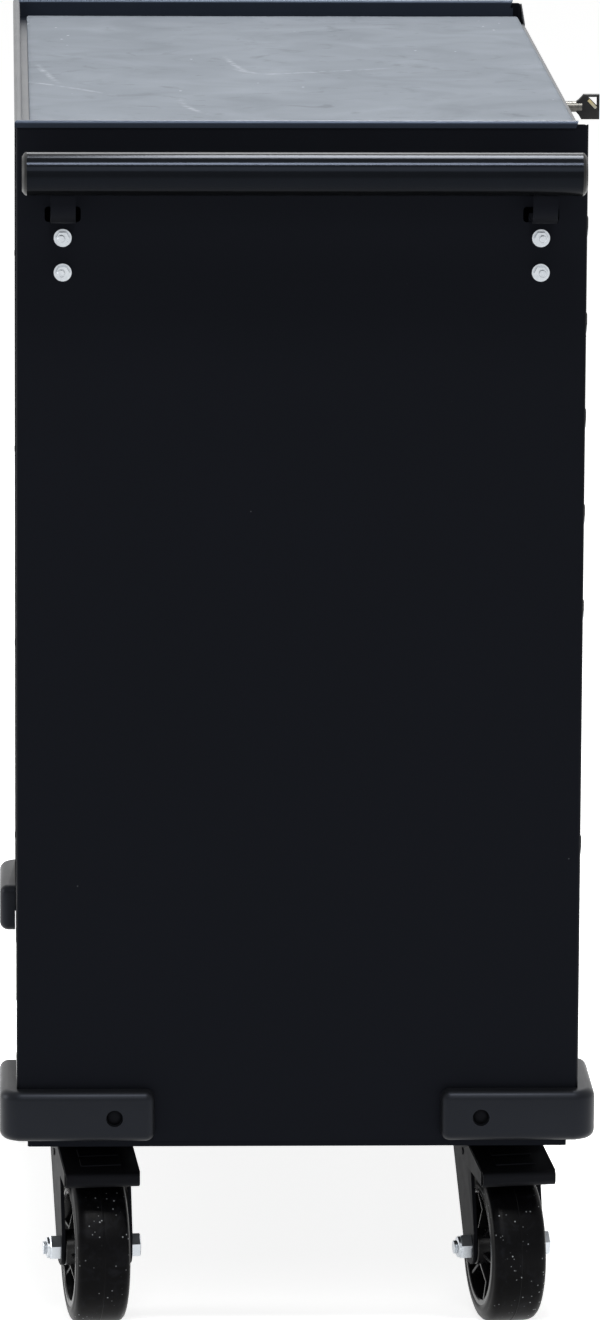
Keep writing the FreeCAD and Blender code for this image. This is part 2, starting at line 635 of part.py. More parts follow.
def drawer_pull(number):
    """Drawn aluminium strip: a nose to hook the fingers behind, a recess, and a skirt."""
    body = new_piece(f"drawer_{number}_pull")
    high = drawer_top(number)
    back = f"(-{half_depth} + front_depth)"
    nose = f"(-{half_depth} - pull_reach)"
    skin = f"-{half_depth}"
    proud = f"({skin} - pull_proud)"
    lip_low = f"{high} - pull_lip"
    recess_low = f"{high} - pull_recess"
    skirt_low = f"{high} - pull_skirt"
    section = [
        (back, high),
        (nose, high, "pull_nose"),
        (nose, lip_low),
        (f"{nose} + pull_wall", lip_low),
        (f"{nose} + pull_wall", f"{high} - pull_wall", "pull_nose - pull_wall"),
        (f"{back} - pull_wall", f"{high} - pull_wall"),
        (f"{back} - pull_wall", recess_low),
        (proud, f"{recess_low} - pull_ramp"),
        (proud, skirt_low),
        (skin, skirt_low),
        (skin, f"{recess_low} - pull_ramp - pull_wall"),
        (back, f"{recess_low} - pull_wall"),
    ]
    half = f"({opening} - drawer_gap)"
    pad(body, "YZ", f"-{half}", f"2 * {half}", [section])
    end_plate = [
        (back, high),
        (nose, high, "pull_nose"),
        (nose, lip_low),
        (proud, f"{recess_low} - pull_ramp"),
        (skin, f"{recess_low} - pull_ramp - pull_wall"),
        (back, f"{recess_low} - pull_wall"),
    ]
    for start in (f"-{half}", f"{half} - pull_wall"):
        pad(body, "YZ", start, "pull_wall", [end_plate])


def drawer_liner(number):
    """Foam sheet on the drawer's floor."""
    body = new_piece(f"drawer_{number}_liner")
    front = f"-{half_depth} + front_depth + box_sheet + liner_gap"
    pad(body, "XY", f"{box_floor(number)} + box_sheet", "liner_thick", [
        box(*both_ways(f"{box_half} - box_sheet - box_round - liner_gap"), front,
            f"{box_back} - box_sheet - liner_gap"),
    ])


def drawer_slides(number):
    """The middle members of a drawer's two slides."""
    body = new_piece(f"drawer_{number}_slides")
    level = f"({box_floor(number)} + slide_above_floor)"
    sections = [slide_channel(side, middle_web, "-middle_reach", middle_half, level)
                for side in (-1, 1)]
    pad(body, "XZ", slide_front, "slide_length", sections)


for number in drawer_numbers:
    drawer_box(number)
    drawer_pull(number)
    drawer_liner(number)
    drawer_slides(number)

# Handle: a steel tube with plugged ends, held off the left side on two bent straps. Each
# strap comes out through a slot in the panel and is held to it by two square-necked bolts,
# with a flange nut on each outside.
handle_x = f"(-{half_width} - handle_reach)"
handle_tube = new_piece("handle_tube", handle_x, 0, handle_height)
pad(handle_tube, "XZ", "-tube_half", "2 * tube_half",
    rings=[(0, 0, "tube_radius"), (0, 0, "tube_radius - tube_wall")])

handle_end_caps = new_piece("handle_end_caps", handle_x, 0, handle_height)
plugs = []
for end in (-1, 1):
    plugs.append([(f"{end} * ({y})", *rest) for y, *rest in (
        ("tube_half - cap_plug", 0),
        ("tube_half - cap_plug", "tube_radius - tube_wall - cap_fit"),
        ("tube_half", "tube_radius - tube_wall - cap_fit"),
        ("tube_half", "tube_radius"),
        ("tube_half + cap_dome / 2", "tube_radius - cap_dome / 4"),
        ("tube_half + cap_dome", "tube_radius - cap_dome"),
        ("tube_half + cap_dome", 0),
    )])
spin(handle_end_caps, "YZ", "H_Axis", plugs)

handle_arms = new_piece("handle_arms")
plate_face = f"-{half_width} + sheet"
strap_near = f"{handle_x} + arm_sheet / 2"
strap_far = f"{handle_x} - arm_sheet / 2"
strap_low = f"{slot_middle} - arm_sheet / 2"
strap_high = f"{slot_middle} + arm_sheet / 2"
arm_low = f"{top} - arm_foot"
strap = [
    (plate_face, arm_low),
    (plate_face, strap_low, "arm_sheet"),
    (strap_far, strap_low, "arm_bend"),
    (strap_far, f"{handle_height} - tube_radius / 2"),
    (strap_near, f"{handle_height} - tube_radius / 2"),
    (strap_near, strap_high, "arm_bend - arm_sheet"),
    (f"{plate_face} + arm_sheet", strap_high, "2 * arm_sheet"),
    (f"{plate_face} + arm_sheet", arm_low),
]
arm_bolts = [(place, f"{top} - {drop}") for place in arm_places
             for drop in ("bolt_drop_high", "bolt_drop_low")]
neck_holes = [square(*at, "bolt_neck / 2 + bolt_clear") for at in arm_bolts]
for place in arm_places:
    pad(handle_arms, "XZ", f"{place} - arm_width / 2", "arm_width", [strap])
cut(handle_arms, "YZ", plate_face, "arm_sheet + 1", neck_holes)
cut(handle_arms, "XZ", "-tube_half", "2 * tube_half",
    rings=[(handle_x, handle_height, "tube_radius")])
cut(left_panel, "YZ", f"-({half_width}) - 1", "sheet + 2", neck_holes)

handle_fasteners = new_piece("handle_fasteners")
panel_out = f"-{half_width}"
strap_inside = f"{plate_face} + arm_sheet"
pad(handle_fasteners, "YZ", f"{panel_out} - bolt_flange_thick", "bolt_flange_thick",
    rings=[(y, z, "bolt_flange") for y, z in arm_bolts])
pad(handle_fasteners, "YZ", f"{panel_out} - bolt_flange_thick - bolt_nut", "bolt_nut",
    [hexagon(y, z, "bolt_hex") for y, z in arm_bolts])
pad(handle_fasteners, "YZ", panel_out, "sheet + arm_sheet",
    [square(y, z, "bolt_neck / 2") for y, z in arm_bolts])
pad(handle_fasteners, "YZ", strap_inside, "bolt_head",
    [hexagon(y, z, "2 * bolt_flange") for y, z in arm_bolts])

# Corner bumpers: four soft angle pieces round the foot of the case, with a sunk screw hole
# in each arm. One is modelled and the others are its mirror images.
bumper_low = f"({foot} + bumper_rise)"
bumper_x = f"({half_width} + bumper_thick)"
bumper_y = f"({half_depth} + bumper_thick)"
bumper_hole = (f"{bumper_low} + bumper_hole_rise", "bumper_hole_radius")
rear_right_bumper = new_piece("rear_right_bumper", loose=True)
bumper_block = pad(rear_right_bumper, "XY", bumper_low, "bumper_height", [[
    (bumper_x, bumper_y, "bumper_round"),
    (f"{bumper_x} - bumper_arm", bumper_y, "bumper_end"),
    (f"{bumper_x} - bumper_arm", half_depth),
    (half_width, half_depth),
    (half_width, f"{bumper_y} - bumper_arm"),
    (bumper_x, f"{bumper_y} - bumper_arm", "bumper_end"),
]])
rear_right_bumper.recompute(True)
soft_edges = []
for index, edge in enumerate(bumper_block.Shape.Edges, start=1):
    middle = edge.valueAt((edge.FirstParameter + edge.LastParameter) / 2)
    proud = max(middle.x - value(half_width), middle.y - value(half_depth))
    if edge.BoundBox.ZLength < 0.01 and proud > 0.1:
        soft_edges.append(f"Edge{index}")
softened = rear_right_bumper.newObject("PartDesign::Chamfer", "soft_edges")
softened.Base = (bumper_block, soft_edges)
softened.Size = value("bumper_edge")
bind(softened, "Size", "bumper_edge")
cut(rear_right_bumper, "YZ", f"{bumper_x} - bumper_hole_depth", "bumper_hole_depth + 1",
    rings=[(f"{bumper_y} - bumper_hole_place", *bumper_hole)])
cut(rear_right_bumper, "XZ", f"{bumper_y} - bumper_hole_depth", "bumper_hole_depth + 1",
    rings=[(f"{bumper_x} - bumper_hole_place", *bumper_hole)])


def mirror(name, source, axis):
    """A mirror image of a piece on the other side of the case's middle."""
    image = doc.addObject("Part::Mirroring", name)
    image.Source = source
    image.Normal = FreeCAD.Vector(axis == "x", axis == "y", 0)
    middle = middle_x if axis == "x" else middle_y
    bind(image, f"Base.{axis}", middle)
    return image


rear_left_bumper = mirror("rear_left_bumper", rear_right_bumper, "x")
front_right_bumper = mirror("front_right_bumper", rear_right_bumper, "y")
front_left_bumper = mirror("front_left_bumper", rear_left_bumper, "y")
corner_bumpers = doc.addObject("Part::Compound", "corner_bumpers")
corner_bumpers.Links = [rear_right_bumper, rear_left_bumper, front_right_bumper,
                        front_left_bumper]
pieces.append(corner_bumpers)

# Lock: a tubular cam lock in the apron. Its plug turns a long rod that runs to the back of
# the case, where a crank lifts a bar, and the bar's hooks rise behind a catch on each drawer.
lock_at = (0, f"-{half_depth}", lock_height)
panel_stack = "2 * sheet"
lock_housing = new_piece("lock_housing", *lock_at)
spin(lock_housing, "YZ", "H_Axis", [[
    ("-lock_flange_thick", "lock_bore"),
    ("-lock_flange_thick", "lock_flange - lock_edge"),
    ("-lock_flange_thick + lock_edge", "lock_flange"),
    (0, "lock_flange"),
    (0, "lock_barrel"),
    ("lock_length", "lock_barrel"),
    ("lock_length", "lock_bore"),
]])
pad(lock_housing, "XZ", panel_stack, "lock_nut", [hexagon(0, 0, "lock_nut_hex")],
    [(0, 0, "lock_barrel - plug_gap")])

lock_plug = new_piece("lock_plug", *lock_at)
plug_end = "(plug_face + plug_length)"
spin(lock_plug, "YZ", "H_Axis", [[
    ("-lock_flange_thick + pin_back", 0),
    ("-lock_flange_thick + pin_back", "plug_pin"),
    ("plug_face", "plug_pin"),
    ("plug_face", "lock_bore - plug_gap"),
    (plug_end, "lock_bore - plug_gap"),
    (plug_end, 0),
]])

key = new_piece("key", *lock_at)
key_back = "(-key_reach + key_head)"
spin(key, "YZ", "H_Axis", [[
    (f"{key_back} - key_neck", 0),
    (f"{key_back} - key_neck", "key_collar"),
    (f"{key_back} + key_neck", "key_collar"),
    (f"{key_back} + key_neck", "key_shank"),
    ("plug_face - pin_back", "key_shank"),
    ("plug_face - pin_back", "plug_pin + key_fit"),
    ("-lock_flange_thick", "plug_pin + key_fit"),
    ("-lock_flange_thick", 0),
]])
key_half = "key_height / 2"
key_far = "-key_reach"
shoulder = f"{key_back} + key_neck / 2"
pad(key, "YZ", "-key_thick / 2", "key_thick", [
    [
        (shoulder, f"-({key_half}) / 2"),
        (f"{key_back} - key_round", f"-({key_half})", "key_round"),
        (key_far, f"-({key_half})", "key_round"),
        (key_far, key_half, "key_round"),
        (f"{key_back} - key_round", key_half, "key_round"),
        (shoulder, f"({key_half}) / 2"),
    ],
    [
        (f"{key_far} + key_hole_edge", f"{key_half} - key_hole_edge"),
        (f"{key_far} + key_hole_edge", f"{key_half} - key_hole_edge - key_hole"),
        (f"{key_far} + key_hole_edge + key_hole", f"{key_half} - key_hole_edge"),
    ],
])

lock_rod = new_piece("lock_rod", *lock_at)
crank_back = f"({half_depth} + {bar_front} - pin_clear)"
crank_face = f"({crank_back} - crank_thick)"
pad(lock_rod, "XZ", plug_end, f"{crank_back} - {plug_end}", rings=[(0, 0, "rod_radius")])
half_crank = "(crank_width / 2 * sqrt(0.5))"
crank_round = "crank_width / 2 - 0.1"
pad(lock_rod, "XZ", crank_face, "crank_thick", [[
    (f"2 * {half_crank}", 0, crank_round),
    (0, f"2 * {half_crank}", crank_round),
    (f"-{crank_fall} - 2 * {half_crank}", f"-{crank_fall}", crank_round),
    (f"-{crank_fall}", f"-{crank_fall} - 2 * {half_crank}", crank_round),
]])
pad(lock_rod, "XZ", crank_back, "crank_pin_length",
    rings=[(f"-{crank_fall}", f"-{crank_fall}", "crank_pin")])

lock_bar = new_piece("lock_bar")
bar_left = "(-bar_offset - bar_width / 2)"
bar_right = "(-bar_offset + bar_width / 2)"
last_hook = box_top(drawer_numbers[-1])
pin_low = f"{lock_height} - {crank_fall}"
slot_reach = "(crank_pin + pin_clear)"
bar_slot = box(f"-crank_arm - {slot_reach}", f"-{crank_fall} + {slot_reach}",
               f"{pin_low} - {slot_reach}", f"{pin_low} + {slot_reach}", "crank_pin")
pad(lock_bar, "XZ", bar_front, "bar_thick", [
    box(bar_left, bar_right, f"{last_hook} - bar_tail - bar_width", f"{lock_height} + bar_top"),
    bar_slot,
])
hooks = []
for number in drawer_numbers:
    high = box_top(number)
    tip = f"({high} - sheet - hook_gap - {bar_lift})"
    reach = f"({box_back} + hook_reach)"
    hooks.append([
        (f"{bar_front} + bar_thick / 2", f"{tip} - hook_height - bar_thick"),
        (f"{bar_front} + bar_thick / 2", f"{tip} - hook_height"),
        (f"{reach} + bar_thick", f"{tip} - hook_height"),
        (f"{reach} + bar_thick", tip),
        (reach, tip),
        (reach, f"{tip} - hook_height - bar_thick"),
    ])
pad(lock_bar, "YZ", "-bar_offset - catch_width / 2", "catch_width", hooks)

lock_guides = new_piece("lock_guides")
guide_plan = box(f"{bar_left} - guide_wall", f"{bar_right} + guide_wall",
                 f"{bar_front} - guide_front", back_inner)
guide_hole = box(f"{bar_left} - fit_gap", f"{bar_right} + fit_gap",
                 f"{bar_front} - fit_gap", f"{bar_front} + bar_thick + fit_gap")
for level in (f"{lock_height} - guide_drop", f"{last_hook} - bar_tail - guide_height"):
    pad(lock_guides, "XY", level, "guide_height", [guide_plan, guide_hole])
pad(lock_guides, "XZ", f"{half_depth} - bearing_inset", "bearing_thick",
    [box(*both_ways("bearing_width / 2"), f"{lock_height} - bearing_below",
         f"{tray_floor} - sheet")],
    [(0, lock_height, "rod_radius + key_fit")])


# Casters: each wheel turns on a bolt between the legs of a pressed fork
def wheel(name, x, y, turn):
    """Moulded wheel with a web recessed on both sides and a bored hub."""
    body = new_piece(name, x, y, "wheel_radius", turn)
    half = "wheel_width / 2"
    hub_half = "(fork_half - fork_sheet - fit_gap)"
    bore = "axle_radius + bore_fit"
    right = [
        (hub_half, bore),
        (hub_half, "hub_radius"),
        ("web_half", "hub_radius"),
        ("web_half", "wheel_rim"),
        (half, "wheel_rim"),
        (f"{half} - wheel_edge / 5", "wheel_radius - wheel_edge / 2.5"),
        (f"{half} - wheel_edge", "wheel_radius"),
    ]
    left = [(f"-({corner[0]})", *corner[1:]) for corner in reversed(right)]
    spin(body, "YZ", "H_Axis", [right + left])


def leg_sections(body, sections, rings):
    """The two legs of a fork, cut to one outline."""
    for start in ("fork_half - fork_sheet", "-fork_half"):
        pad(body, "XZ", start, "fork_sheet", sections, rings)


def swivel_fork(name, x, y, turn):
    """Pressed fork that turns on the kingpin, with a stub on each leg that holds the pedal."""
    body = new_piece(name, x, y, 0, turn)
    axle = ("-axle_offset", "wheel_radius", "axle_radius + hole_clear")
    leg = [
        ("-fork_front", crown),
        ("fork_rear", crown),
        ("fork_rear", f"{crown} - fork_shoulder", "fork_round"),
        ("-axle_offset + axle_boss", "wheel_radius - axle_boss", "axle_boss - 1"),
        ("-axle_offset - axle_boss", "wheel_radius - axle_boss", "axle_boss - 1"),
        ("-axle_offset - axle_boss", "wheel_radius + axle_boss"),
    ]
    leg_sections(body, [leg], [axle])
    for start in ("fork_half - fork_sheet / 2", "-pedal_half - 1"):
        pad(body, "XZ", start, "pedal_half + 1 - fork_half + fork_sheet / 2",
            rings=[("-pedal_pin_x", f"{crown} - pedal_pin_drop", "pedal_pin")])
    pad(body, "XY", f"{crown} - fork_sheet", "fork_sheet",
        [box("-fork_front", "fork_rear", *both_ways("fork_half - fork_sheet / 2"))],
        [(0, 0, "kingpin_radius + bore_fit")])


def axle_set(name, x, y, turn, offset):
    """Axle bolt and its lock nut."""
    body = new_piece(name, x, y, 0, turn)
    at = (f"-({offset})", "wheel_radius")
    pad(body, "XZ", "-fork_half - axle_head", "axle_head", [hexagon(*at, "axle_hex")])
    pad(body, "XZ", "-fork_half", "2 * fork_half + axle_nut + axle_stub",
        rings=[(*at, "axle_radius")])
    pad(body, "XZ", "fork_half", "axle_nut", [hexagon(*at, "axle_hex")])


def brake_pedal(name, x, y, turn):
    """Pressed pedal over the fork: a sloping tread with two steps, a rolled lip and a shoe."""
    body = new_piece(name, x, y, 0, turn)
    high = f"({crown} - pedal_top_drop)"
    tip_high = f"({high} - pedal_fall)"
    tip_low = f"({tip_high} - pedal_lip)"
    pin_z = f"({crown} - pedal_pin_drop)"

    def on_tread(reach, lift):
        """A point at reach from the kingpin, lift above the tread's upper face."""
        fall = f"pedal_fall * ({reach} - pedal_start) / (pedal_tip - pedal_start)"
        return f"-({reach})", f"{high} - {fall} + {lift}"

    tread = [
        on_tread("pedal_start", 0),
        ("-pedal_tip", tip_high, "pedal_roll"),
        ("-pedal_tip", tip_low, "pedal_roll"),
        ("-pedal_tip + pedal_hook", tip_low),
        ("-pedal_tip + pedal_hook", f"{tip_low} + pedal_sheet"),
        ("-pedal_tip + pedal_sheet", f"{tip_low} + pedal_sheet", "pedal_roll - pedal_sheet"),
        (*on_tread("pedal_tip - pedal_sheet", "-pedal_sheet"), "pedal_roll - pedal_sheet"),
        on_tread("pedal_start", "-pedal_sheet"),
    ]
    side = [
        on_tread("pedal_start + 1", "-pedal_sheet / 2"),
        on_tread("pedal_tip - pedal_roll", "-pedal_sheet / 2"),
        ("-pedal_tip + pedal_roll", f"{tip_low} + pedal_sheet / 2"),
        ("-pedal_pin_x - pedal_heel", f"{pin_z} - pedal_heel"),
        ("-pedal_pin_x + pedal_heel", f"{pin_z} - pedal_heel", "pedal_heel / 2"),
        ("-pedal_pin_x + pedal_heel", f"{pin_z} + pedal_heel", "pedal_heel / 2"),
    ]
    between = "(pedal_half - pedal_side)"
    pad(body, "XZ", "-pedal_half", "2 * pedal_half", [side],
        [("-pedal_pin_x", pin_z, "pedal_pin + bore_fit")])
    cut(body, "XZ", f"-{between}", f"2 * {between}",
        [box("-pedal_tip - 1", 0, f"{tip_low} - pedal_heel", f"{high} + 1")])
    tread_half = f"({between} + pedal_side / 2)"
    pad(body, "XZ", f"-{tread_half}", f"2 * {tread_half}", [tread])
    steps = []
    for near in ("step_near", "step_far"):
        far = f"{near} + step_length"
        steps.append([on_tread(near, "-pedal_sheet / 2"), on_tread(near, "pedal_step"),
                      on_tread(far, "pedal_step"), on_tread(far, "-pedal_sheet / 2")])
    pad(body, "XZ", "-pedal_step_half", "2 * pedal_step_half", steps)
    shoe_low = "(2 * wheel_radius + shoe_gap)"
    shoe = [
        on_tread("shoe_near", "-pedal_sheet / 2"),
        ("-shoe_near", shoe_low),
        ("-shoe_far", f"{shoe_low} - shoe_fall"),
        on_tread("shoe_far", "-pedal_sheet / 2"),
    ]
    pad(body, "XZ", "-shoe_half", "2 * shoe_half", [shoe])


for corner, y, turn in (("front", "-caster_place_y", SWIVEL_FRONT),
                        ("rear", "caster_place_y", SWIVEL_REAR)):
    swivel_fork(f"swivel_fork_{corner}", "-caster_place_x", y, turn)
    axle_set(f"swivel_axle_{corner}", "-caster_place_x", y, turn, "axle_offset")
    brake_pedal(f"brake_pedal_{corner}", "-caster_place_x", y, turn)
    angle = math.radians(turn)
    wheel_x = f"-caster_place_x - axle_offset * {math.cos(angle):.9f}"
    wheel_y = f"{y} - axle_offset * {math.sin(angle):.9f}"
    wheel(f"swivel_wheel_{corner}", wheel_x, wheel_y, turn)
    wheel(f"rigid_wheel_{corner}", "caster_place_x", y, 0)

# Swivel plates: a bolted plate with the lower race and the kingpin riveted to it
swivel_plates = new_piece("swivel_plates")
plate_low = f"({base} - plate_thick)"


def caster_plate(x, y):
    return box(f"{x} - plate_length / 2", f"{x} + plate_length / 2",
               f"{y} - plate_width / 2", f"{y} + plate_width / 2", "plate_round")


caster_rows = both_ways("caster_place_y")
for y in caster_rows:
    x = "-caster_place_x"
    pad(swivel_plates, "XY", plate_low, "plate_thick", [caster_plate(x, y)])
    pad(swivel_plates, "XY", f"{crown} + fit_gap", "race_height - fit_gap",
        rings=[(x, y, "race_radius")])
    pad(swivel_plates, "XY", f"{crown} - fork_sheet - fit_gap", "fork_sheet + 2 * fit_gap",
        rings=[(x, y, "kingpin_radius")])
    pad(swivel_plates, "XY", f"{crown} - fork_sheet - fit_gap - kingpin_head_thick",
        "kingpin_head_thick", rings=[(x, y, "kingpin_head")])

# Rigid forks: the legs are welded straight under a bolted plate
rigid_forks = new_piece("rigid_forks")
rigid_leg = [
    ("-rigid_half", plate_low),
    ("rigid_half", plate_low),
    ("rigid_half", f"{plate_low} - fork_shoulder", "fork_round"),
    ("axle_boss", "wheel_radius - axle_boss", "axle_boss - 1"),
    ("-axle_boss", "wheel_radius - axle_boss", "axle_boss - 1"),
    ("-rigid_half", f"{plate_low} - fork_shoulder", "fork_round"),
]
rigid_leg = [(f"caster_place_x + {corner[0]}", *corner[1:]) for corner in rigid_leg]
for y in caster_rows:
    x = "caster_place_x"
    pad(rigid_forks, "XY", plate_low, "plate_thick", [caster_plate(x, y)])
    for start in (f"{y} + fork_half - fork_sheet", f"{y} - fork_half"):
        pad(rigid_forks, "XZ", start, "fork_sheet", [rigid_leg],
            [("caster_place_x", "wheel_radius", "axle_radius + hole_clear")])
    pad(rigid_forks, "XY", f"{plate_low} - fork_sheet", "fork_sheet",
        [box(f"{x} - rigid_half", f"{x} + rigid_half",
             f"{y} - fork_half + fork_sheet / 2", f"{y} + fork_half - fork_sheet / 2")])

rigid_axles = new_piece("rigid_axles")
for y in caster_rows:
    at = ("caster_place_x", "wheel_radius")
    pad(rigid_axles, "XZ", f"{y} - fork_half - axle_head", "axle_head",
        [hexagon(*at, "axle_hex")])
    pad(rigid_axles, "XZ", f"{y} - fork_half", "2 * fork_half + axle_nut + axle_stub",
        rings=[(*at, "axle_radius")])
    pad(rigid_axles, "XZ", f"{y} + fork_half", "axle_nut", [hexagon(*at, "axle_hex")])

doc.recompute()

for item in doc.Objects:
    if "Invalid" in item.State or "Error" in item.State:
        raise RuntimeError(f"{item.Label} could not be built: {item.State}")
    if item.TypeId in ("PartDesign::Pad", "PartDesign::Pocket") and item.BaseFeature:
        change = item.Shape.Volume - item.BaseFeature.Shape.Volume
        if change * (1 if item.TypeId == "PartDesign::Pad" else -1) < 0.01:
            raise RuntimeError(f"{item.Label} changes the volume by {change}")

os.makedirs("parts", exist_ok=True)
for body in pieces:
    if body.Shape.isNull() or not body.Shape.isValid():
        raise RuntimeError(f"{body.Label} has no valid shape")
    body.Shape.exportStep(f"parts/{body.Label}.step")
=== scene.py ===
import math

import bmesh
import bpy
from mathutils import Matrix, Vector, noise


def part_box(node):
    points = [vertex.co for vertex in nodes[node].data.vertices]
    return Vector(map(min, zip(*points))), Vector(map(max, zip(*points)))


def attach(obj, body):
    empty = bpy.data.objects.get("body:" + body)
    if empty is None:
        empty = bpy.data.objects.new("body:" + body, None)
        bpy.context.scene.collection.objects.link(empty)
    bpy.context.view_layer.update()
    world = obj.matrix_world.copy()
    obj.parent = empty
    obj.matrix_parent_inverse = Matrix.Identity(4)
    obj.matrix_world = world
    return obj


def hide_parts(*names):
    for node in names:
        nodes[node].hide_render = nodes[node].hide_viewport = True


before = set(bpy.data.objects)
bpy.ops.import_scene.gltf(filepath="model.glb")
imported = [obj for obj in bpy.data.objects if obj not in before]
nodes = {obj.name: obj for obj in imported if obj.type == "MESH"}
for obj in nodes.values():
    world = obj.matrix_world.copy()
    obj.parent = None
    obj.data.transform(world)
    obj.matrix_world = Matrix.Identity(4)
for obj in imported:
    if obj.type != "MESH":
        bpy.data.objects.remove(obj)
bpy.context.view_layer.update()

# Studio. The camera stands seven metres off the handle side and 0.8 m above the worktop, with a
# long lens. The floor is matt white vinyl, the surround is plain white, and five soft lamps
# light the cabinet.
bpy.context.scene.view_settings.view_transform = "Standard"


def srgb(code):
    """A colour written as sRGB hex, as linear red, green, blue and alpha."""
    parts = [int(code[i:i + 2], 16) / 255 for i in (1, 3, 5)]
    return [p / 12.92 if p <= 0.04045 else ((p + 0.055) / 1.055) ** 2.4 for p in parts] + [1]


def add(tree, kind, links=None, **settings):
    """Add one node: links go into its sockets, and settings are its sockets or properties."""
    node = tree.nodes.new(f"ShaderNode{kind}")
    for name, setting in settings.items():
        if hasattr(node, name):
            setattr(node, name, setting)
    for name, setting in settings.items():
        if not hasattr(node, name):
            node.inputs[name.replace("_", " ")].default_value = setting
    for socket, source in (links or {}).items():
        tree.links.new(source, node.inputs[socket])
    return node


def background_rays(tree, low, high):
    """High for camera, glossy and transmission rays, and low for all others."""
    path = add(tree, "LightPath")
    seen = add(tree, "Math", {0: path.outputs["Is Camera Ray"], 1: path.outputs["Is Glossy Ray"]},
               operation="ADD")
    seen = add(tree, "Math", {0: seen.outputs[0], 1: path.outputs["Is Transmission Ray"]},
               operation="ADD", use_clamp=True)
    spread = add(tree, "MapRange", {"Value": seen.outputs[0]}, To_Min=low, To_Max=high)
    return spread.outputs[0]


world = bpy.data.worlds.new("white_surround")
world.use_nodes = True
bpy.context.scene.world = world
surround = world.node_tree.nodes["Background"]
surround.inputs["Color"].default_value = srgb("#ffffff")
strength = background_rays(world.node_tree, low=0.2, high=1.0)
world.node_tree.links.new(strength, surround.inputs["Strength"])

vinyl = bpy.data.materials.new("matt_white_vinyl")
vinyl.use_nodes = True
tree = vinyl.node_tree
tree.nodes.clear()
matt = add(tree, "BsdfDiffuse", Color=srgb("#f0f0ef"))
lift = add(tree, "Emission", {"Strength": background_rays(tree, low=0, high=0.8)},
           Color=srgb("#ffffff"))
both = add(tree, "AddShader", {0: matt.outputs[0], 1: lift.outputs[0]})
add(tree, "OutputMaterial", {"Surface": both.outputs[0]})

floor_reach = 40
sheet = bmesh.new()
bmesh.ops.create_grid(sheet, x_segments=4, y_segments=4, size=floor_reach)
floor_mesh = bpy.data.meshes.new("studio_floor")
sheet.to_mesh(floor_mesh)
sheet.free()
floor_mesh.materials.append(vinyl)
floor = bpy.data.objects.new("studio_floor", floor_mesh)
bpy.context.collection.objects.link(floor)

camera_place = (-7.31135, 0.2528, 1.8429)
lens_yaw, lens_pitch, lens_roll = (math.radians(a) for a in (1.996, 10.463, 0.303))
ahead = Vector((math.cos(lens_pitch) * math.cos(lens_yaw),
                -math.cos(lens_pitch) * math.sin(lens_yaw), -math.sin(lens_pitch)))
level = Vector((-math.sin(lens_yaw), -math.cos(lens_yaw), 0))
upward = level.cross(ahead)
right = math.cos(lens_roll) * level + math.sin(lens_roll) * upward
upright = math.cos(lens_roll) * upward - math.sin(lens_roll) * level
camera_data = bpy.data.cameras.new("studio_camera")
camera_data.sensor_width = 36
camera_data.lens = 235.4
camera = bpy.data.objects.new("studio_camera", camera_data)
facing = Matrix((right, upright, -ahead)).transposed().to_4x4()
camera.matrix_world = Matrix.Translation(camera_place) @ facing
bpy.context.collection.objects.link(camera)
bpy.context.scene.camera = camera


def soft_lamp(name, place, target, width, height, power):
    """A rectangular soft lamp that faces its target and isn't seen itself."""
    data = bpy.data.lights.new(name, "AREA")
    data.shape = "RECTANGLE"
    data.size, data.size_y = width, height
    data.energy = power
    lamp = bpy.data.objects.new(name, data)
    lamp.location = place
    lamp.rotation_euler = (Vector(target) - Vector(place)).to_track_quat("-Z", "Y").to_euler()
    lamp.visible_camera = False
    bpy.context.collection.objects.link(lamp)


# One lamp hangs high over the far half of the worktop, one high outside the handle, a broad
# one nearer the camera, one high beyond the far side, and one low behind the back panel.
soft_lamp("lamp_overhead", (0.75, -0.25, 4.2), (-0.3, -0.1, 0.9), 0.75, 1.4, 100)
soft_lamp("lamp_handle_side", (-2.2, -0.1, 4.2), (-0.5, 0, 0.8), 0.8, 0.6, 84)
soft_lamp("lamp_broad_front", (-4.4, -0.1, 3.5), (-0.45, 0, 0.8), 2.0, 1.8, 34)
soft_lamp("lamp_far_side", (3.7, -0.2, 3.9), (0, 0, 0.9), 2.0, 1.6, 40)
soft_lamp("lamp_rear_side", (0.4, 4.6, 1.5), (-0.3, 0, 0.7), 1.2, 2.0, 60)

# Case. Cold-rolled steel sheet, cut, folded and spot welded, then coated all over with black
# textured powder. The base pan, side panels, back panel and rails are CAD nodes. Two black
# pop rivets show under the handle, and five more hold each rear flange to the back panel.
mm = 0.001


def new_finish(name, **settings):
    """A new material, its nodes, its one Principled shader and the place on the object."""
    finish = bpy.data.materials.new(name)
    finish.use_nodes = True
    tree = finish.node_tree
    tree.nodes.clear()
    shader = add(tree, "BsdfPrincipled", **settings)
    add(tree, "OutputMaterial", {"Surface": shader.outputs[0]})
    return finish, tree, shader, add(tree, "TexCoord").outputs["Object"]


def feed(tree, shader, **sources):
    """Link nodes into the shader's sockets, whose names take _ for a space."""
    for name, source in sources.items():
        tree.links.new(source.outputs[0], shader.inputs[name.replace("_", " ")])


def dress(finish, *names):
    """Give CAD nodes a finish."""
    for name in names:
        nodes[name].data.materials.clear()
        nodes[name].data.materials.append(finish)


def bevel_edges(piece, name, width, angle=30):
    """Round the edges of a piece that turn by more than an angle."""
    bevel = piece.modifiers.new(name, "BEVEL")
    bevel.width = width
    bevel.segments = 2
    bevel.limit_method = "ANGLE"
    bevel.angle_limit = math.radians(angle)
    return bevel


def ease_edges(width, *names):
    """Round the cut edges of CAD sheet metal a little, so that they catch the light."""
    for name in names:
        weld = nodes[name].modifiers.new("joined_faces", "WELD")
        weld.merge_threshold = 0.01 * mm
        bevel_edges(nodes[name], "eased_edges", width, angle=40).harden_normals = True


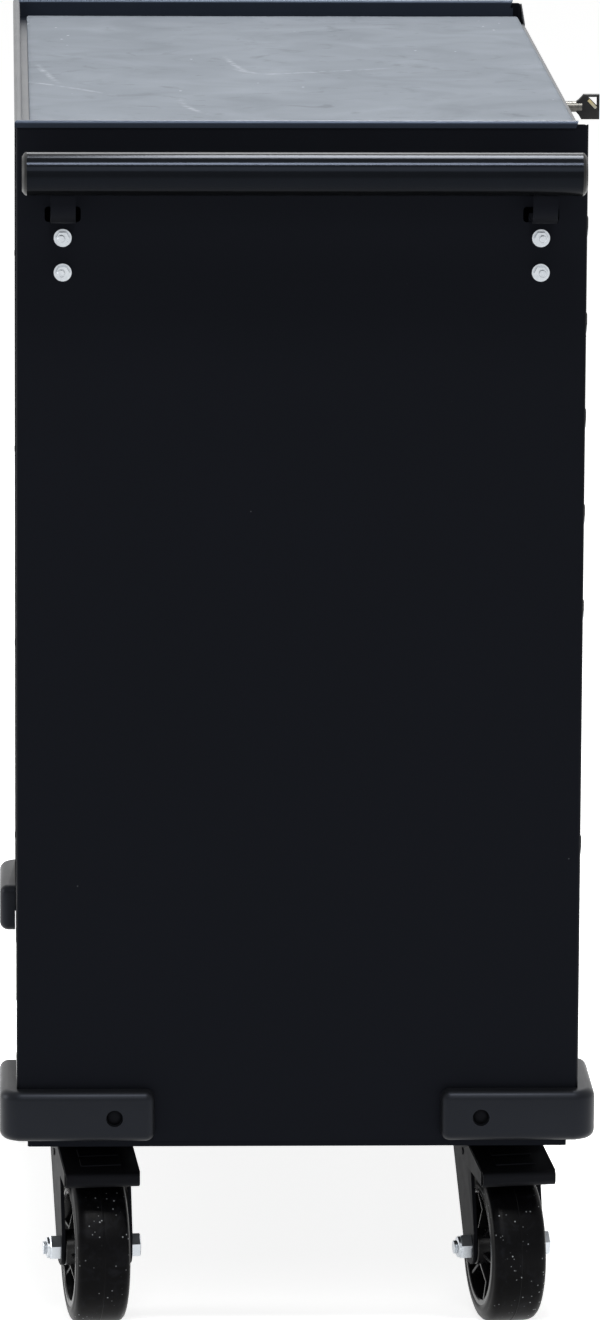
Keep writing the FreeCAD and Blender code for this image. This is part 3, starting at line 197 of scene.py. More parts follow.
# The powder melts into a fine orange peel that breaks up every reflection, and it is so matt
# and dark that the sheet shows mostly as a silhouette with light only on its folds. A few
# specks of dust lie on it.
# Its specular tint is a painted blue cast on every reflection, standing in for the colour of the
# light.
powder_coat, tree, shader, place = new_finish("black_powder_coat", Specular_IOR_Level=0.08,
                                              Specular_Tint=srgb("#d8e2ff"))
clouds = add(tree, "TexNoise", {"Vector": place}, Scale=1 / (180 * mm), Detail=3)
shade = add(tree, "MixRGB", {"Fac": clouds.outputs[0]}, Color1=srgb("#060709"),
            Color2=srgb("#0a0b0f"))
speck_cell, speck_radius = 40 * mm, 0.6 * mm
dust = add(tree, "TexVoronoi", {"Vector": place}, Scale=1 / speck_cell)
dust = add(tree, "MapRange", {"Value": dust.outputs["Distance"]}, To_Min=0.35, To_Max=0,
           From_Min=0.5 * speck_radius / speck_cell, From_Max=speck_radius / speck_cell)
shade = add(tree, "MixRGB", {"Fac": dust.outputs[0], "Color1": shade.outputs[0]},
            Color2=srgb("#8c9096"))
peel = add(tree, "TexNoise", {"Vector": place}, Scale=1 / (1.6 * mm), Detail=2)
relief = add(tree, "Bump", {"Height": peel.outputs[0]}, Strength=0.6, Distance=0.04 * mm)
gloss = add(tree, "MapRange", {"Value": clouds.outputs[0]}, To_Min=0.46, To_Max=0.58)
feed(tree, shader, Base_Color=shade, Roughness=gloss, Normal=relief)

case_nodes = ("side_panel_left", "side_panel_right", "back_panel", "base_pan", "front_rail_top",
              "front_rail_bottom", "slide_uprights")
dress(powder_coat, *case_nodes)
ease_edges(0.35 * mm, *case_nodes)


def make_piece(name, shape, finish, body, sharp=35):
    """A finished piece from a bmesh in the frame's own place. It rides on a body."""
    bmesh.ops.remove_doubles(shape, verts=shape.verts, dist=0.001 * mm)
    bmesh.ops.recalc_face_normals(shape, faces=shape.faces)
    mesh = bpy.data.meshes.new(name)
    shape.to_mesh(mesh)
    shape.free()
    mesh.shade_smooth()
    mesh.set_sharp_from_angle(angle=math.radians(sharp))
    mesh.materials.append(finish)
    piece = bpy.data.objects.new(name, mesh)
    bpy.context.collection.objects.link(piece)
    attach(piece, body)
    return piece


def turn(shape, profile, centre, axis, steps=40):
    """Spin a profile of (place along the axis, radius) round an axis through the centre."""
    axis = Vector(axis).normalized()
    side = axis.orthogonal().normalized()
    other = axis.cross(side)
    rings = []
    for along, radius in profile:
        middle = Vector(centre) + along * axis
        if radius == 0:
            rings.append([shape.verts.new(middle)] * steps)
            continue
        ring = []
        for i in range(steps):
            angle = 2 * math.pi * i / steps
            spoke = math.cos(angle) * side + math.sin(angle) * other
            ring.append(shape.verts.new(middle + radius * spoke))
        rings.append(ring)
    for near, far in zip(rings, rings[1:]):
        for i in range(steps):
            corners = []
            for vertex in (near[i], near[i - 1], far[i - 1], far[i]):
                if vertex not in corners:
                    corners.append(vertex)
            shape.faces.new(corners)


def dome(radius, rise):
    """Profile of a low domed head that stands on a flat face."""
    return [(0, 0), (0, radius), (0.35 * rise, 0.96 * radius), (0.75 * rise, 0.75 * radius),
            (0.95 * rise, 0.4 * radius), (rise, 0)]


panel_low, panel_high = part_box("side_panel_left")
far_panel_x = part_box("side_panel_right")[1].x
middle_y = (panel_low.y + panel_high.y) / 2
rivets = bmesh.new()
side_rivet_out, side_rivet_drop = 149 * mm, 56 * mm
for y in (middle_y - side_rivet_out, middle_y + side_rivet_out):
    turn(rivets, dome(radius=2.6 * mm, rise=1.1 * mm),
         (panel_low.x, y, panel_high.z - side_rivet_drop), (-1, 0, 0), steps=24)
flange_in, lowest_rivet, rivet_pitch = 8 * mm, 240 * mm, 180 * mm
for x in (panel_low.x + flange_in, far_panel_x - flange_in):
    for i in range(5):
        turn(rivets, dome(radius=3 * mm, rise=0.3 * mm),
             (x, panel_high.y, lowest_rivet + i * rivet_pitch), (0, 1, 0), steps=24)
make_piece("case_rivets", rivets, powder_coat, "cabinet")

# Slides. Roll-formed steel strip with a bright zinc plate: three nested members on each side
# of every drawer, riding on the uprights. The plate is a thin, slightly milky metal skin with
# a faint cloudiness and a fine grain, drawn coarser than the real one so that it shows.
zinc, tree, shader, place = new_finish("bright_zinc_plate", Metallic=1.0)
spangle = add(tree, "TexNoise", {"Vector": place}, Scale=1 / (9 * mm), Detail=4)
shade = add(tree, "MixRGB", {"Fac": spangle.outputs[0]}, Color1=srgb("#aeb4bb"),
            Color2=srgb("#ced2d6"))
gloss = add(tree, "MapRange", {"Value": spangle.outputs[0]}, To_Min=0.22, To_Max=0.36)
grain = add(tree, "TexNoise", {"Vector": place}, Scale=1 / (0.8 * mm), Detail=3)
relief = add(tree, "Bump", {"Height": grain.outputs[0]}, Strength=0.4, Distance=0.02 * mm)
feed(tree, shader, Base_Color=shade, Roughness=gloss, Normal=relief)
slide_nodes = ["slide_outer_members"]
slide_nodes += [f"drawer_{i}_slides" for i in range(1, 7)]
dress(zinc, *slide_nodes)

# Worktop tray. The same steel sheet, folded up into a rolled hem on three sides and down over
# the drawers in front. It has a smoother, satin black powder coat, which shines where the hem
# turns up to the light, with the powder's orange peel in the shine. The blue-grey of that
# shine is a painted tint on the reflection, standing in for the colour of the light.
satin_coat, tree, shader, place = new_finish("satin_black_powder_coat", Specular_IOR_Level=0.45,
                                             Specular_Tint=srgb("#b9cdf0"))
clouds = add(tree, "TexNoise", {"Vector": place}, Scale=1 / (60 * mm), Detail=3)
shade = add(tree, "MixRGB", {"Fac": clouds.outputs[0]}, Color1=srgb("#08090b"),
            Color2=srgb("#0e1116"))
peel = add(tree, "TexNoise", {"Vector": place}, Scale=1 / (1.5 * mm), Detail=3)
relief = add(tree, "Bump", {"Height": peel.outputs[0]}, Strength=0.6, Distance=0.05 * mm)
gloss = add(tree, "MapRange", {"Value": clouds.outputs[0]}, To_Min=0.26, To_Max=0.34)
feed(tree, shader, Base_Color=shade, Roughness=gloss, Normal=relief)
dress(satin_coat, "top_tray")

# Worktop mat. A 2 mm sheet of closed-cell foam rubber, die cut, that lies loose in the tray.
# It is dull, and its grey is partly its own and partly painted sheen: it is written lighter
# than the foam, in place of the shine the foam takes on at a low angle. Use has left it
# cloudy: dusty smears, dark rubs, a few curved scuffs from sliding tools, and pale crumbs.
# Its cells are drawn coarser than real so that they show.
foam, tree, shader, place = new_finish("grey_foam_rubber_with_painted_sheen", Roughness=0.75, Specular_IOR_Level=0.12)
smear = add(tree, "TexNoise", {"Vector": place}, Scale=1 / (90 * mm), Detail=6, Distortion=0.8)
# Both greys are lifted above the foam's own as painted sheen, with the dusty smears between them.
shade = add(tree, "MixRGB", {"Fac": smear.outputs[0]}, Color1=srgb("#5c6269"),
            Color2=srgb("#838991"))
rubs = add(tree, "TexNoise", {"Vector": place}, Scale=1 / (38 * mm), Detail=4, Distortion=1.5)
rubs = add(tree, "MapRange", {"Value": rubs.outputs[0]}, From_Min=0.6, From_Max=0.75,
           To_Max=0.45)
shade = add(tree, "MixRGB", {"Fac": rubs.outputs[0], "Color1": shade.outputs[0]},
            Color2=srgb("#4b5157"))
# Each scuff is part of a circle, in millimetres: its centre and radius, the middle of the part
# that shows, and how far from there it fades out.
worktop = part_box("top_mat")[1].z
scuffs = [((371, -2512), 2750, (29, 218), 85), ((-160, -168), 274, (-215, 99), 66),
          ((188, -620), 681, (95, 54), 70), ((74, -6), 62, (35, 38), 38),
          ((-420, 640), 560, (-70, 205), 80), ((520, 180), 520, (40, -20), 90)]
scuff_half = 4 * mm
pale = None
for (centre_x, centre_y), radius, (mid_x, mid_y), reach in scuffs:
    bow = add(tree, "VectorMath", {0: place}, operation="DISTANCE")
    bow.inputs[1].default_value = (centre_x * mm, centre_y * mm, worktop)
    bow = add(tree, "Math", {0: bow.outputs["Value"]}, operation="SUBTRACT")
    bow.inputs[1].default_value = radius * mm
    bow = add(tree, "Math", {0: bow.outputs[0]}, operation="ABSOLUTE")
    line = add(tree, "MapRange", {"Value": bow.outputs[0]}, From_Max=scuff_half, To_Min=1,
               To_Max=0)
    span = add(tree, "VectorMath", {0: place}, operation="DISTANCE")
    span.inputs[1].default_value = (mid_x * mm, mid_y * mm, worktop)
    span = add(tree, "MapRange", {"Value": span.outputs["Value"]}, From_Min=0.3 * reach * mm,
               From_Max=reach * mm, To_Min=0.55, To_Max=0)
    mark = add(tree, "Math", {0: line.outputs[0], 1: span.outputs[0]}, operation="MULTIPLY")
    if pale:
        mark = add(tree, "Math", {0: pale.outputs[0], 1: mark.outputs[0]}, operation="MAXIMUM")
    pale = mark
drag = add(tree, "TexNoise", {"Vector": place}, Scale=1 / (9 * mm), Detail=3)
drag = add(tree, "MapRange", {"Value": drag.outputs[0]}, From_Min=0.35, From_Max=0.75,
           To_Max=0.9)
pale = add(tree, "Math", {0: pale.outputs[0], 1: drag.outputs[0]}, operation="MULTIPLY")
crumb_cell, crumb_radius = 34 * mm, 1.5 * mm
crumbs = add(tree, "TexVoronoi", {"Vector": place}, Scale=1 / crumb_cell)
crumbs = add(tree, "MapRange", {"Value": crumbs.outputs["Distance"]}, To_Min=0.9, To_Max=0,
             From_Min=0.5 * crumb_radius / crumb_cell, From_Max=crumb_radius / crumb_cell)
pale = add(tree, "Math", {0: pale.outputs[0], 1: crumbs.outputs[0]}, operation="MAXIMUM")
shade = add(tree, "MixRGB", {"Fac": pale.outputs[0], "Color1": shade.outputs[0]},
            Color2=srgb("#c3c8ce"))
cells = add(tree, "TexNoise", {"Vector": place}, Scale=1 / (1.2 * mm), Detail=2)
relief = add(tree, "Bump", {"Height": cells.outputs[0]}, Strength=0.5, Distance=0.1 * mm)
feed(tree, shader, Base_Color=shade, Normal=relief)


def foam_sheet(low, high, corner, wave):
    """A thin loose sheet with rounded corners and a soft upper edge, a little uneven on top."""
    grid, waves_per_metre = 14 * mm, 9
    edge_drop = 0.35 * (high.z - low.z)
    near_edge = [0, 0.3 * corner, corner]
    lines = []
    for axis in (0, 1):
        length = high[axis] - low[axis]
        cells = round((length - 2 * corner) / grid)
        inner = [corner + (length - 2 * corner) * i / cells for i in range(1, cells)]
        lines.append(near_edge + inner + [length - step for step in reversed(near_edge)])
    shape = bmesh.new()
    layers = []
    for upper in (False, True):
        rows = []
        for j, v in enumerate(lines[1]):
            row = []
            for i, u in enumerate(lines[0]):
                x, y = low.x + u, low.y + v
                centre = Vector((min(max(x, low.x + corner), high.x - corner),
                                 min(max(y, low.y + corner), high.y - corner)))
                arm = Vector((x, y)) - centre
                if arm.length > corner:
                    x, y = centre + arm.normalized() * corner
                z = low.z
                if upper:
                    rim = i in (0, len(lines[0]) - 1) or j in (0, len(lines[1]) - 1)
                    z = high.z - (edge_drop if rim else 0)
                    z += wave * (noise.noise(Vector((x, y, 0)) * waves_per_metre) - 0.5)
                row.append(shape.verts.new((x, y, z)))
            rows.append(row)
        layers.append(rows)
        for j in range(len(rows) - 1):
            for i in range(len(rows[0]) - 1):
                shape.faces.new((rows[j][i], rows[j][i + 1], rows[j + 1][i + 1], rows[j + 1][i]))
    rims = []
    for rows in layers:
        rims.append([rows[0], rows[-1], [row[0] for row in rows], [row[-1] for row in rows]])
    for lower, upper in zip(*rims):
        for k in range(len(lower) - 1):
            shape.faces.new((lower[k], lower[k + 1], upper[k + 1], upper[k]))
    return shape


low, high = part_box("top_mat")
mat = make_piece("worktop_mat", foam_sheet(low, high, corner=4 * mm, wave=0.3 * mm), foam,
                 "cabinet", sharp=60)
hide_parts("top_mat")

# Drawers. Each is a folded steel tray behind a pan-formed front, all of it powder coated like
# the case.
drawer_numbers = range(1, 7)
for i in drawer_numbers:
    dress(powder_coat, f"drawer_{i}_box")

# Drawer pulls. Drawn aluminium strip, sawn to length, brushed along its length and anodised
# in its own colour, so it shines softly in a band across the brushing, which is drawn coarser
# than real so that it shows. A moulded black cap closes each end.
aluminium, tree, shader, place = new_finish("satin_anodised_aluminium", Metallic=1.0)
stroke_long, stroke_wide = 60 * mm, 0.5 * mm
along = add(tree, "Mapping", {"Vector": place},
            Scale=(1 / stroke_long, 1 / stroke_wide, 1 / stroke_wide))
brushing = add(tree, "TexNoise", {"Vector": along.outputs[0]}, Scale=1, Detail=4)
shade = add(tree, "MixRGB", {"Fac": brushing.outputs[0]}, Color1=srgb("#a9acb1"),
            Color2=srgb("#c6c8cc"))
gloss = add(tree, "MapRange", {"Value": brushing.outputs[0]}, To_Min=0.28, To_Max=0.42)
relief = add(tree, "Bump", {"Height": brushing.outputs[0]}, Strength=0.5, Distance=0.02 * mm)
feed(tree, shader, Base_Color=shade, Roughness=gloss, Normal=relief)

# The moulded plastic has the fine spark texture of its mould, drawn coarser so that it shows.
black_plastic, tree, shader, place = new_finish("black_moulded_plastic", Specular_IOR_Level=0.3)
spark = add(tree, "TexNoise", {"Vector": place}, Scale=1 / (0.7 * mm), Detail=3)
clouds = add(tree, "TexNoise", {"Vector": place}, Scale=1 / (14 * mm), Detail=3)
shade = add(tree, "MixRGB", {"Fac": clouds.outputs[0]}, Color1=srgb("#0a0a0b"),
            Color2=srgb("#111214"))
gloss = add(tree, "MapRange", {"Value": clouds.outputs[0]}, To_Min=0.34, To_Max=0.46)
relief = add(tree, "Bump", {"Height": spark.outputs[0]}, Strength=0.5, Distance=0.03 * mm)
feed(tree, shader, Base_Color=shade, Roughness=gloss, Normal=relief)


def prism(shape, outline, start, end):
    """A straight solid over an outline in the YZ plane, from start to end along X."""
    ends = []
    for x in (start, end):
        ends.append([shape.verts.new((x, y, z)) for y, z in outline])
    shape.faces.new(ends[0])
    shape.faces.new(ends[1])
    for i in range(len(outline)):
        shape.faces.new((ends[0][i - 1], ends[0][i], ends[1][i], ends[1][i - 1]))


cap_thick, pull_lip, pull_recess, pull_ramp, pull_nose = (s * mm for s in (1.2, 16, 25, 6, 4))
pull_wall, pull_proud, lip_slant, cap_steps = 1.4 * mm, 1.2 * mm, 0.8 * mm, 5
case_front = panel_low.y
for i in drawer_numbers:
    dress(aluminium, f"drawer_{i}_pull")
    low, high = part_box(f"drawer_{i}_pull")
    nose, back, top = low.y, high.y, high.z
    outline = [(back, top)]
    for step in range(cap_steps + 1):
        angle = math.radians(90 + 90 * step / cap_steps)
        outline.append((nose + pull_nose * (1 + math.cos(angle)),
                        top - pull_nose * (1 - math.sin(angle))))
    outline += [(nose, top - 0.7 * pull_lip), (nose + lip_slant, top - pull_lip),
                (case_front - pull_proud, top - pull_recess - pull_ramp),
                (case_front, top - pull_recess - pull_ramp - pull_wall),
                (back, top - pull_recess - pull_wall)]
    caps = bmesh.new()
    prism(caps, outline, low.x - cap_thick, low.x)
    prism(caps, outline, high.x, high.x + cap_thick)
    piece = make_piece(f"drawer_{i}_pull_caps", caps, black_plastic, f"drawer_{i}")
    bevel_edges(piece, "moulded_edges", 0.4 * mm)

# Drawer liners. A 1.5 mm foam sheet, the same kind as the mat but near black, cut to the
# drawer's floor.
liner_foam, tree, shader, place = new_finish("black_foam_rubber", Roughness=0.7,
                                             Specular_IOR_Level=0.25)
cells = add(tree, "TexNoise", {"Vector": place}, Scale=1 / (1.2 * mm), Detail=2)
clouds = add(tree, "TexNoise", {"Vector": place}, Scale=1 / (70 * mm), Detail=4)
shade = add(tree, "MixRGB", {"Fac": clouds.outputs[0]}, Color1=srgb("#1b1c1e"),
            Color2=srgb("#26272a"))
relief = add(tree, "Bump", {"Height": cells.outputs[0]}, Strength=0.6, Distance=0.12 * mm)
feed(tree, shader, Base_Color=shade, Normal=relief)
for i in drawer_numbers:
    low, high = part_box(f"drawer_{i}_liner")
    liner = make_piece(f"drawer_{i}_foam", foam_sheet(low, high, corner=3 * mm, wave=0.2 * mm),
                       liner_foam, f"drawer_{i}", sharp=60)
    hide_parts(f"drawer_{i}_liner")

# Handle. A welded steel tube across the left side, closed by black plugs, on two bent flat
# straps that come out through slots in the panel. Each strap is held by two square-necked
# bolts with zinc-plated flange nuts outside. The tube has a glossier black powder coat than
# the case, so the lamps above draw bright bands along it, grained by the powder.
# Its specular tint paints a blue cast into those bands, standing in for the colour of the light.
gloss_coat, tree, shader, place = new_finish("glossy_black_powder_coat", Specular_IOR_Level=0.11,
                                             Specular_Tint=srgb("#c6d4f0"))
clouds = add(tree, "TexNoise", {"Vector": place}, Scale=1 / (25 * mm), Detail=3)
shade = add(tree, "MixRGB", {"Fac": clouds.outputs[0]}, Color1=srgb("#060708"),
            Color2=srgb("#0a0b0d"))
peel = add(tree, "TexNoise", {"Vector": place}, Scale=1 / (1.3 * mm), Detail=3)
relief = add(tree, "Bump", {"Height": peel.outputs[0]}, Strength=0.5, Distance=0.03 * mm)
gloss = add(tree, "MapRange", {"Value": clouds.outputs[0]}, To_Min=0.12, To_Max=0.18)
feed(tree, shader, Base_Color=shade, Roughness=gloss, Normal=relief)
dress(gloss_coat, "handle_tube")
dress(powder_coat, "handle_arms")
dress(black_plastic, "handle_end_caps")
dress(zinc, "handle_fasteners")


def thread(radius, depth, pitch, turns):
    """Profile of a threaded end that stands on a flat face and has a chamfered tip."""
    profile = [(0, 0), (0, radius)]
    for i in range(turns):
        profile += [((i + 0.25) * pitch, radius), ((i + 0.75) * pitch, radius - depth)]
    tip = turns * pitch
    return profile + [(tip, radius), (tip + depth, radius - depth), (tip + depth, 0)]


bolt_ends = bmesh.new()
bolt_low, bolt_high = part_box("handle_fasteners")
bolt_inset = 7.2 * mm
bolt_end = thread(radius=2.9 * mm, depth=0.35 * mm, pitch=0.8 * mm, turns=2)
for y in (bolt_low.y + bolt_inset, bolt_high.y - bolt_inset):
    for z in (bolt_low.z + bolt_inset, bolt_high.z - bolt_inset):
        turn(bolt_ends, bolt_end, (bolt_low.x, y, z), (-1, 0, 0), steps=24)
make_piece("handle_bolt_ends", bolt_ends, zinc, "cabinet")

# Lock. A tubular cam lock of chrome-plated die casting in the apron, with a long zinc-plated
# steel rod behind it to the bar that holds all the drawers. The chrome is mirror bright, with
# faint wipe marks.
chrome, tree, shader, place = new_finish("chrome_plate", Metallic=1.0)
wipes = add(tree, "TexNoise", {"Vector": place}, Scale=1 / (4 * mm), Detail=3)
gloss = add(tree, "MapRange", {"Value": wipes.outputs[0]}, To_Min=0.05, To_Max=0.14)
shade = add(tree, "MixRGB", {"Fac": wipes.outputs[0]}, Color1=srgb("#cfd2d5"),
            Color2=srgb("#dddfe1"))
feed(tree, shader, Base_Color=shade, Roughness=gloss)
dress(chrome, "lock_housing", "lock_plug")
dress(zinc, "lock_rod", "lock_bar")
dress(black_plastic, "lock_guides")

# Key. A darkened steel tube with a moulded black head. The head has hollow shoulders, a
# three-cornered hole for a ring at its outer upper corner, and beside it a brass strip, worn
# grey at its lower end, let into each face.
key_low, key_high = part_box("key")
key_x, key_z = (key_low.x + key_high.x) / 2, (key_low.z + key_high.z) / 2
head_half, head_deep, head_thick = (key_high.z - key_low.z) / 2, 20 * mm, 7.2 * mm
head_shape = [(0, -1), (0.78, -1), (0.9, -0.62), (1, -0.42), (1, 0.42), (0.9, 0.55),
              (0.76, 0.82), (0.68, 1), (0, 1)]
outline = []
for share, rise in head_shape:
    outline.append((key_low.y + share * head_deep, key_z + rise * head_half))
hole_edge, hole_side = 2.2 * mm, 7.4 * mm
hole = [(key_low.y + hole_edge, key_z + head_half - hole_edge),
        (key_low.y + hole_edge, key_z + head_half - hole_edge - hole_side),
        (key_low.y + hole_edge + hole_side, key_z + head_half - hole_edge)]
head_edge = 0.8 * mm
drawn = bpy.data.curves.new("key_head_outline", "CURVE")
drawn.dimensions = "2D"
drawn.fill_mode = "BOTH"
drawn.extrude = head_thick / 2 - head_edge
drawn.bevel_depth = head_edge
drawn.bevel_resolution = 3
drawn.offset = -head_edge
for points in (outline, hole):
    line = drawn.splines.new("POLY")
    line.points.add(len(points) - 1)
    for point, (y, z) in zip(line.points, points):
        point.co = (y, z, 0, 1)
    line.use_cyclic_u = True
pattern = bpy.data.objects.new("key_head_outline", drawn)
flat_head = bpy.data.meshes.new_from_object(pattern)
bpy.data.objects.remove(pattern)
head = bmesh.new()
head.from_mesh(flat_head)
bpy.data.meshes.remove(flat_head)
bmesh.ops.remove_doubles(head, verts=head.verts, dist=0.01 * mm)
head.transform(Matrix.Translation((key_x, 0, 0)) @ Matrix(((0, 0, 1, 0), (1, 0, 0, 0),
                                                         (0, 1, 0, 0), (0, 0, 0, 1))))
key_head = make_piece("key_head", head, black_plastic, "key")
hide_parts("key")

brass, tree, shader, place = new_finish("worn_brass_strip", Metallic=1.0, Roughness=0.35)
wear = add(tree, "TexNoise", {"Vector": place}, Scale=1 / (3 * mm), Detail=3)
fade = add(tree, "SeparateXYZ", {"Vector": place})
fade = add(tree, "MapRange", {"Value": fade.outputs["Z"]}, From_Min=key_z - 2 * mm,
           From_Max=key_z + 5 * mm)
worn = add(tree, "MixRGB", {"Fac": wear.outputs[0]}, Color1=srgb("#8f908a"),
           Color2=srgb("#a9aaa2"))
shade = add(tree, "MixRGB", {"Fac": fade.outputs[0], "Color1": worn.outputs[0]},
            Color2=srgb("#b3a67e"))
feed(tree, shader, Base_Color=shade)
strips = bmesh.new()
strip_long, strip_wide, strip_proud, strip_sunk = (s * mm for s in (9.6, 2.6, 0.15, 0.5))
strip_y, strip_z = key_low.y + 6.3 * mm, key_z + 2.6 * mm
slope = math.radians(47)
for face in (-1, 1):
    corners = []
    for u, v in ((-0.5, -0.5), (0.5, -0.5), (0.5, 0.5), (-0.5, 0.5)):
        along, across = u * strip_long, v * strip_wide
        corners.append((strip_y + along * math.cos(slope) - across * math.sin(slope),
                        strip_z + along * math.sin(slope) + across * math.cos(slope)))
    skin = key_x + face * head_thick / 2
    prism(strips, corners, skin - face * strip_sunk, skin + face * strip_proud)
strip = make_piece("key_strip", strips, brass, "key")
bevel_edges(strip, "rounded_rim", 0.12 * mm)

shank = bmesh.new()
shank_start = key_low.y + 0.75 * head_deep
length = key_high.y - shank_start
shank_radius, bore_radius, bore_deep, chamfer = (s * mm for s in (4.8, 3.3, 9, 0.4))
turn(shank, [(0, 0), (0, shank_radius), (length - chamfer, shank_radius),
             (length, shank_radius - chamfer), (length, bore_radius),
             (length - bore_deep, bore_radius), (length - bore_deep, 0)],
     (key_x, shank_start, key_z), (0, 1, 0), steps=32)
# The steel is darkened unevenly, from blue-black to a warm grey, with a wiped shine.
dark_steel, tree, shader, place = new_finish("darkened_key_steel", Metallic=1.0)
wear = add(tree, "TexNoise", {"Vector": place}, Scale=1 / (2 * mm), Detail=3)
shade = add(tree, "MixRGB", {"Fac": wear.outputs[0]}, Color1=srgb("#2c3434"),
            Color2=srgb("#6a6560"))
gloss = add(tree, "MapRange", {"Value": wear.outputs[0]}, To_Min=0.2, To_Max=0.4)
feed(tree, shader, Base_Color=shade, Roughness=gloss)
make_piece("key_shank", shank, dark_steel, "key")

# Corner bumpers. Soft black PVC angle pieces, injection moulded with thick rounded edges, and
# held by one pan-head screw sunk into a round pocket in each arm. The skin is smooth but
# matt, so the light rolls off the upper edge in a soft band. Its grain is drawn coarser than
# real so that it shows.
# Its specular tint paints a blue cast into that band, standing in for the colour of the light.
soft_pvc, tree, shader, place = new_finish("soft_black_pvc", Specular_IOR_Level=0.22,
                                           Specular_Tint=srgb("#c9d2e6"))
clouds = add(tree, "TexNoise", {"Vector": place}, Scale=1 / (30 * mm), Detail=3)
shade = add(tree, "MixRGB", {"Fac": clouds.outputs[0]}, Color1=srgb("#0d0e10"),
            Color2=srgb("#131417"))
skin_grain = add(tree, "TexNoise", {"Vector": place}, Scale=1 / (0.9 * mm), Detail=2)
relief = add(tree, "Bump", {"Height": skin_grain.outputs[0]}, Strength=0.4, Distance=0.04 * mm)
gloss = add(tree, "MapRange", {"Value": clouds.outputs[0]}, To_Min=0.34, To_Max=0.42)
feed(tree, shader, Base_Color=shade, Roughness=gloss, Normal=relief)


def arc(centre, radius, start, sweep, steps):
    """Points of an arc, from start degrees over sweep degrees."""
    points = []
    for i in range(steps + 1):
        angle = math.radians(start + sweep * i / steps)
        points.append((centre[0] + radius * math.cos(angle),
                       centre[1] + radius * math.sin(angle)))
    return points


bumper_low, bumper_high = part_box("corner_bumpers")
bumper_arm, bumper_thick, corner_round, end_round = (s * mm for s in (127, 14, 18, 8))
pocket_place, pocket_rise, pocket_radius, pocket_deep = (s * mm for s in (94, 20, 7, 6))
cutter_out = 2 * mm
pocket = [(-cutter_out, 0), (-cutter_out, pocket_radius), (pocket_deep, 0.94 * pocket_radius),
          (pocket_deep, 0)]
edge_round, edge_steps = 7.6 * mm, 7
rounding = []
for step in range(edge_steps + 1):
    angle = math.radians(90 * step / edge_steps)
    rounding.append((edge_round * (1 - math.cos(angle)), edge_round * (1 - math.sin(angle))))
# The heights of the bumper's layers, each with how far the rounded edge pulls it in
heights = ([(bumper_low.z + rise, into) for rise, into in rounding]
           + [(bumper_high.z - rise, into) for rise, into in reversed(rounding)])
cutter_mesh = bpy.data.meshes.new("pocket_cutter")
cutter = bpy.data.objects.new("pocket_cutter", cutter_mesh)
screws = bmesh.new()
for name, side_x, side_y in (("front_left", -1, -1), ("rear_left", -1, 1),
                             ("front_right", 1, -1), ("rear_right", 1, 1)):
    outer_x = bumper_high.x if side_x > 0 else bumper_low.x
    outer_y = bumper_high.y if side_y > 0 else bumper_low.y

    def at(across, deep, z):
        """A point at depths across and deep from the bumper's two outer faces."""
        return Vector((outer_x - side_x * across, outer_y - side_y * deep, z))

    shape = bmesh.new()
    layers = []
    for z, into in heights:
        plan = arc((corner_round, corner_round), corner_round - into, 180, 90, 8)
        plan += arc((bumper_arm - end_round, end_round), end_round - into, 270, 90, 5)
        plan += [(bumper_arm - into, bumper_thick), (bumper_thick, bumper_thick),
                 (bumper_thick, bumper_arm - into)]
        plan += arc((end_round, bumper_arm - end_round), end_round - into, 90, 90, 5)
        layers.append([shape.verts.new(at(across, deep, z)) for across, deep in plan])
    shape.faces.new(layers[0])
    shape.faces.new(layers[-1])
    for lower, upper in zip(layers, layers[1:]):
        for i in range(len(plan)):
            shape.faces.new((lower[i - 1], lower[i], upper[i], upper[i - 1]))
    pockets = bmesh.new()
    pocket_z = bumper_low.z + pocket_rise
    into_x, into_y = Vector((-side_x, 0, 0)), Vector((0, -side_y, 0))
    for centre, into in ((at(0, pocket_place, pocket_z), into_x),
                         (at(pocket_place, 0, pocket_z), into_y)):
        turn(pockets, pocket, centre, into, steps=32)
        turn(screws, dome(radius=6.4 * mm, rise=1.2 * mm), centre + pocket_deep * into, -into,
             steps=28)
    bmesh.ops.recalc_face_normals(pockets, faces=pockets.faces)
    pockets.to_mesh(cutter_mesh)
    pockets.free()
    bumper = make_piece(f"bumper_{name}", shape, soft_pvc, "cabinet")
    hollow = bumper.modifiers.new("screw_pockets", "BOOLEAN")
    hollow.operation = "DIFFERENCE"
    hollow.solver = "EXACT"
    hollow.object = cutter
    bpy.context.collection.objects.link(cutter)
    bpy.context.view_layer.update()
    carved = bpy.data.meshes.new_from_object(
        bumper.evaluated_get(bpy.context.evaluated_depsgraph_get()))
    bpy.context.collection.objects.unlink(cutter)
    bumper.modifiers.clear()
    bumper.data = carved
    carved.shade_smooth()
    carved.set_sharp_from_angle(angle=math.radians(35))
    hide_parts("corner_bumpers")
bpy.data.objects.remove(cutter)

# Bumper screws. Steel pan heads at the bottom of the pockets, with a thin black
# electro-coat: a silky, nearly matt skin whose fine grain is drawn coarser so that it shows.
# Its specular tint is a painted blue cast on the coat's reflections, standing in for the colour of
# the light.
ecoat, tree, shader, place = new_finish("black_electro_coated_steel", Specular_IOR_Level=0.1,
                                        Specular_Tint=srgb("#d4dbee"))
clouds = add(tree, "TexNoise", {"Vector": place}, Scale=1 / (12 * mm), Detail=4)
shade = add(tree, "MixRGB", {"Fac": clouds.outputs[0]}, Color1=srgb("#060607"),
            Color2=srgb("#0b0b0d"))
grain = add(tree, "TexNoise", {"Vector": place}, Scale=1 / (0.9 * mm), Detail=3)
relief = add(tree, "Bump", {"Height": grain.outputs[0]}, Strength=0.7, Distance=0.04 * mm)
gloss = add(tree, "MapRange", {"Value": clouds.outputs[0]}, To_Min=0.5, To_Max=0.64)
feed(tree, shader, Base_Color=shade, Roughness=gloss, Normal=relief)
make_piece("bumper_screws", screws, ecoat, "cabinet")

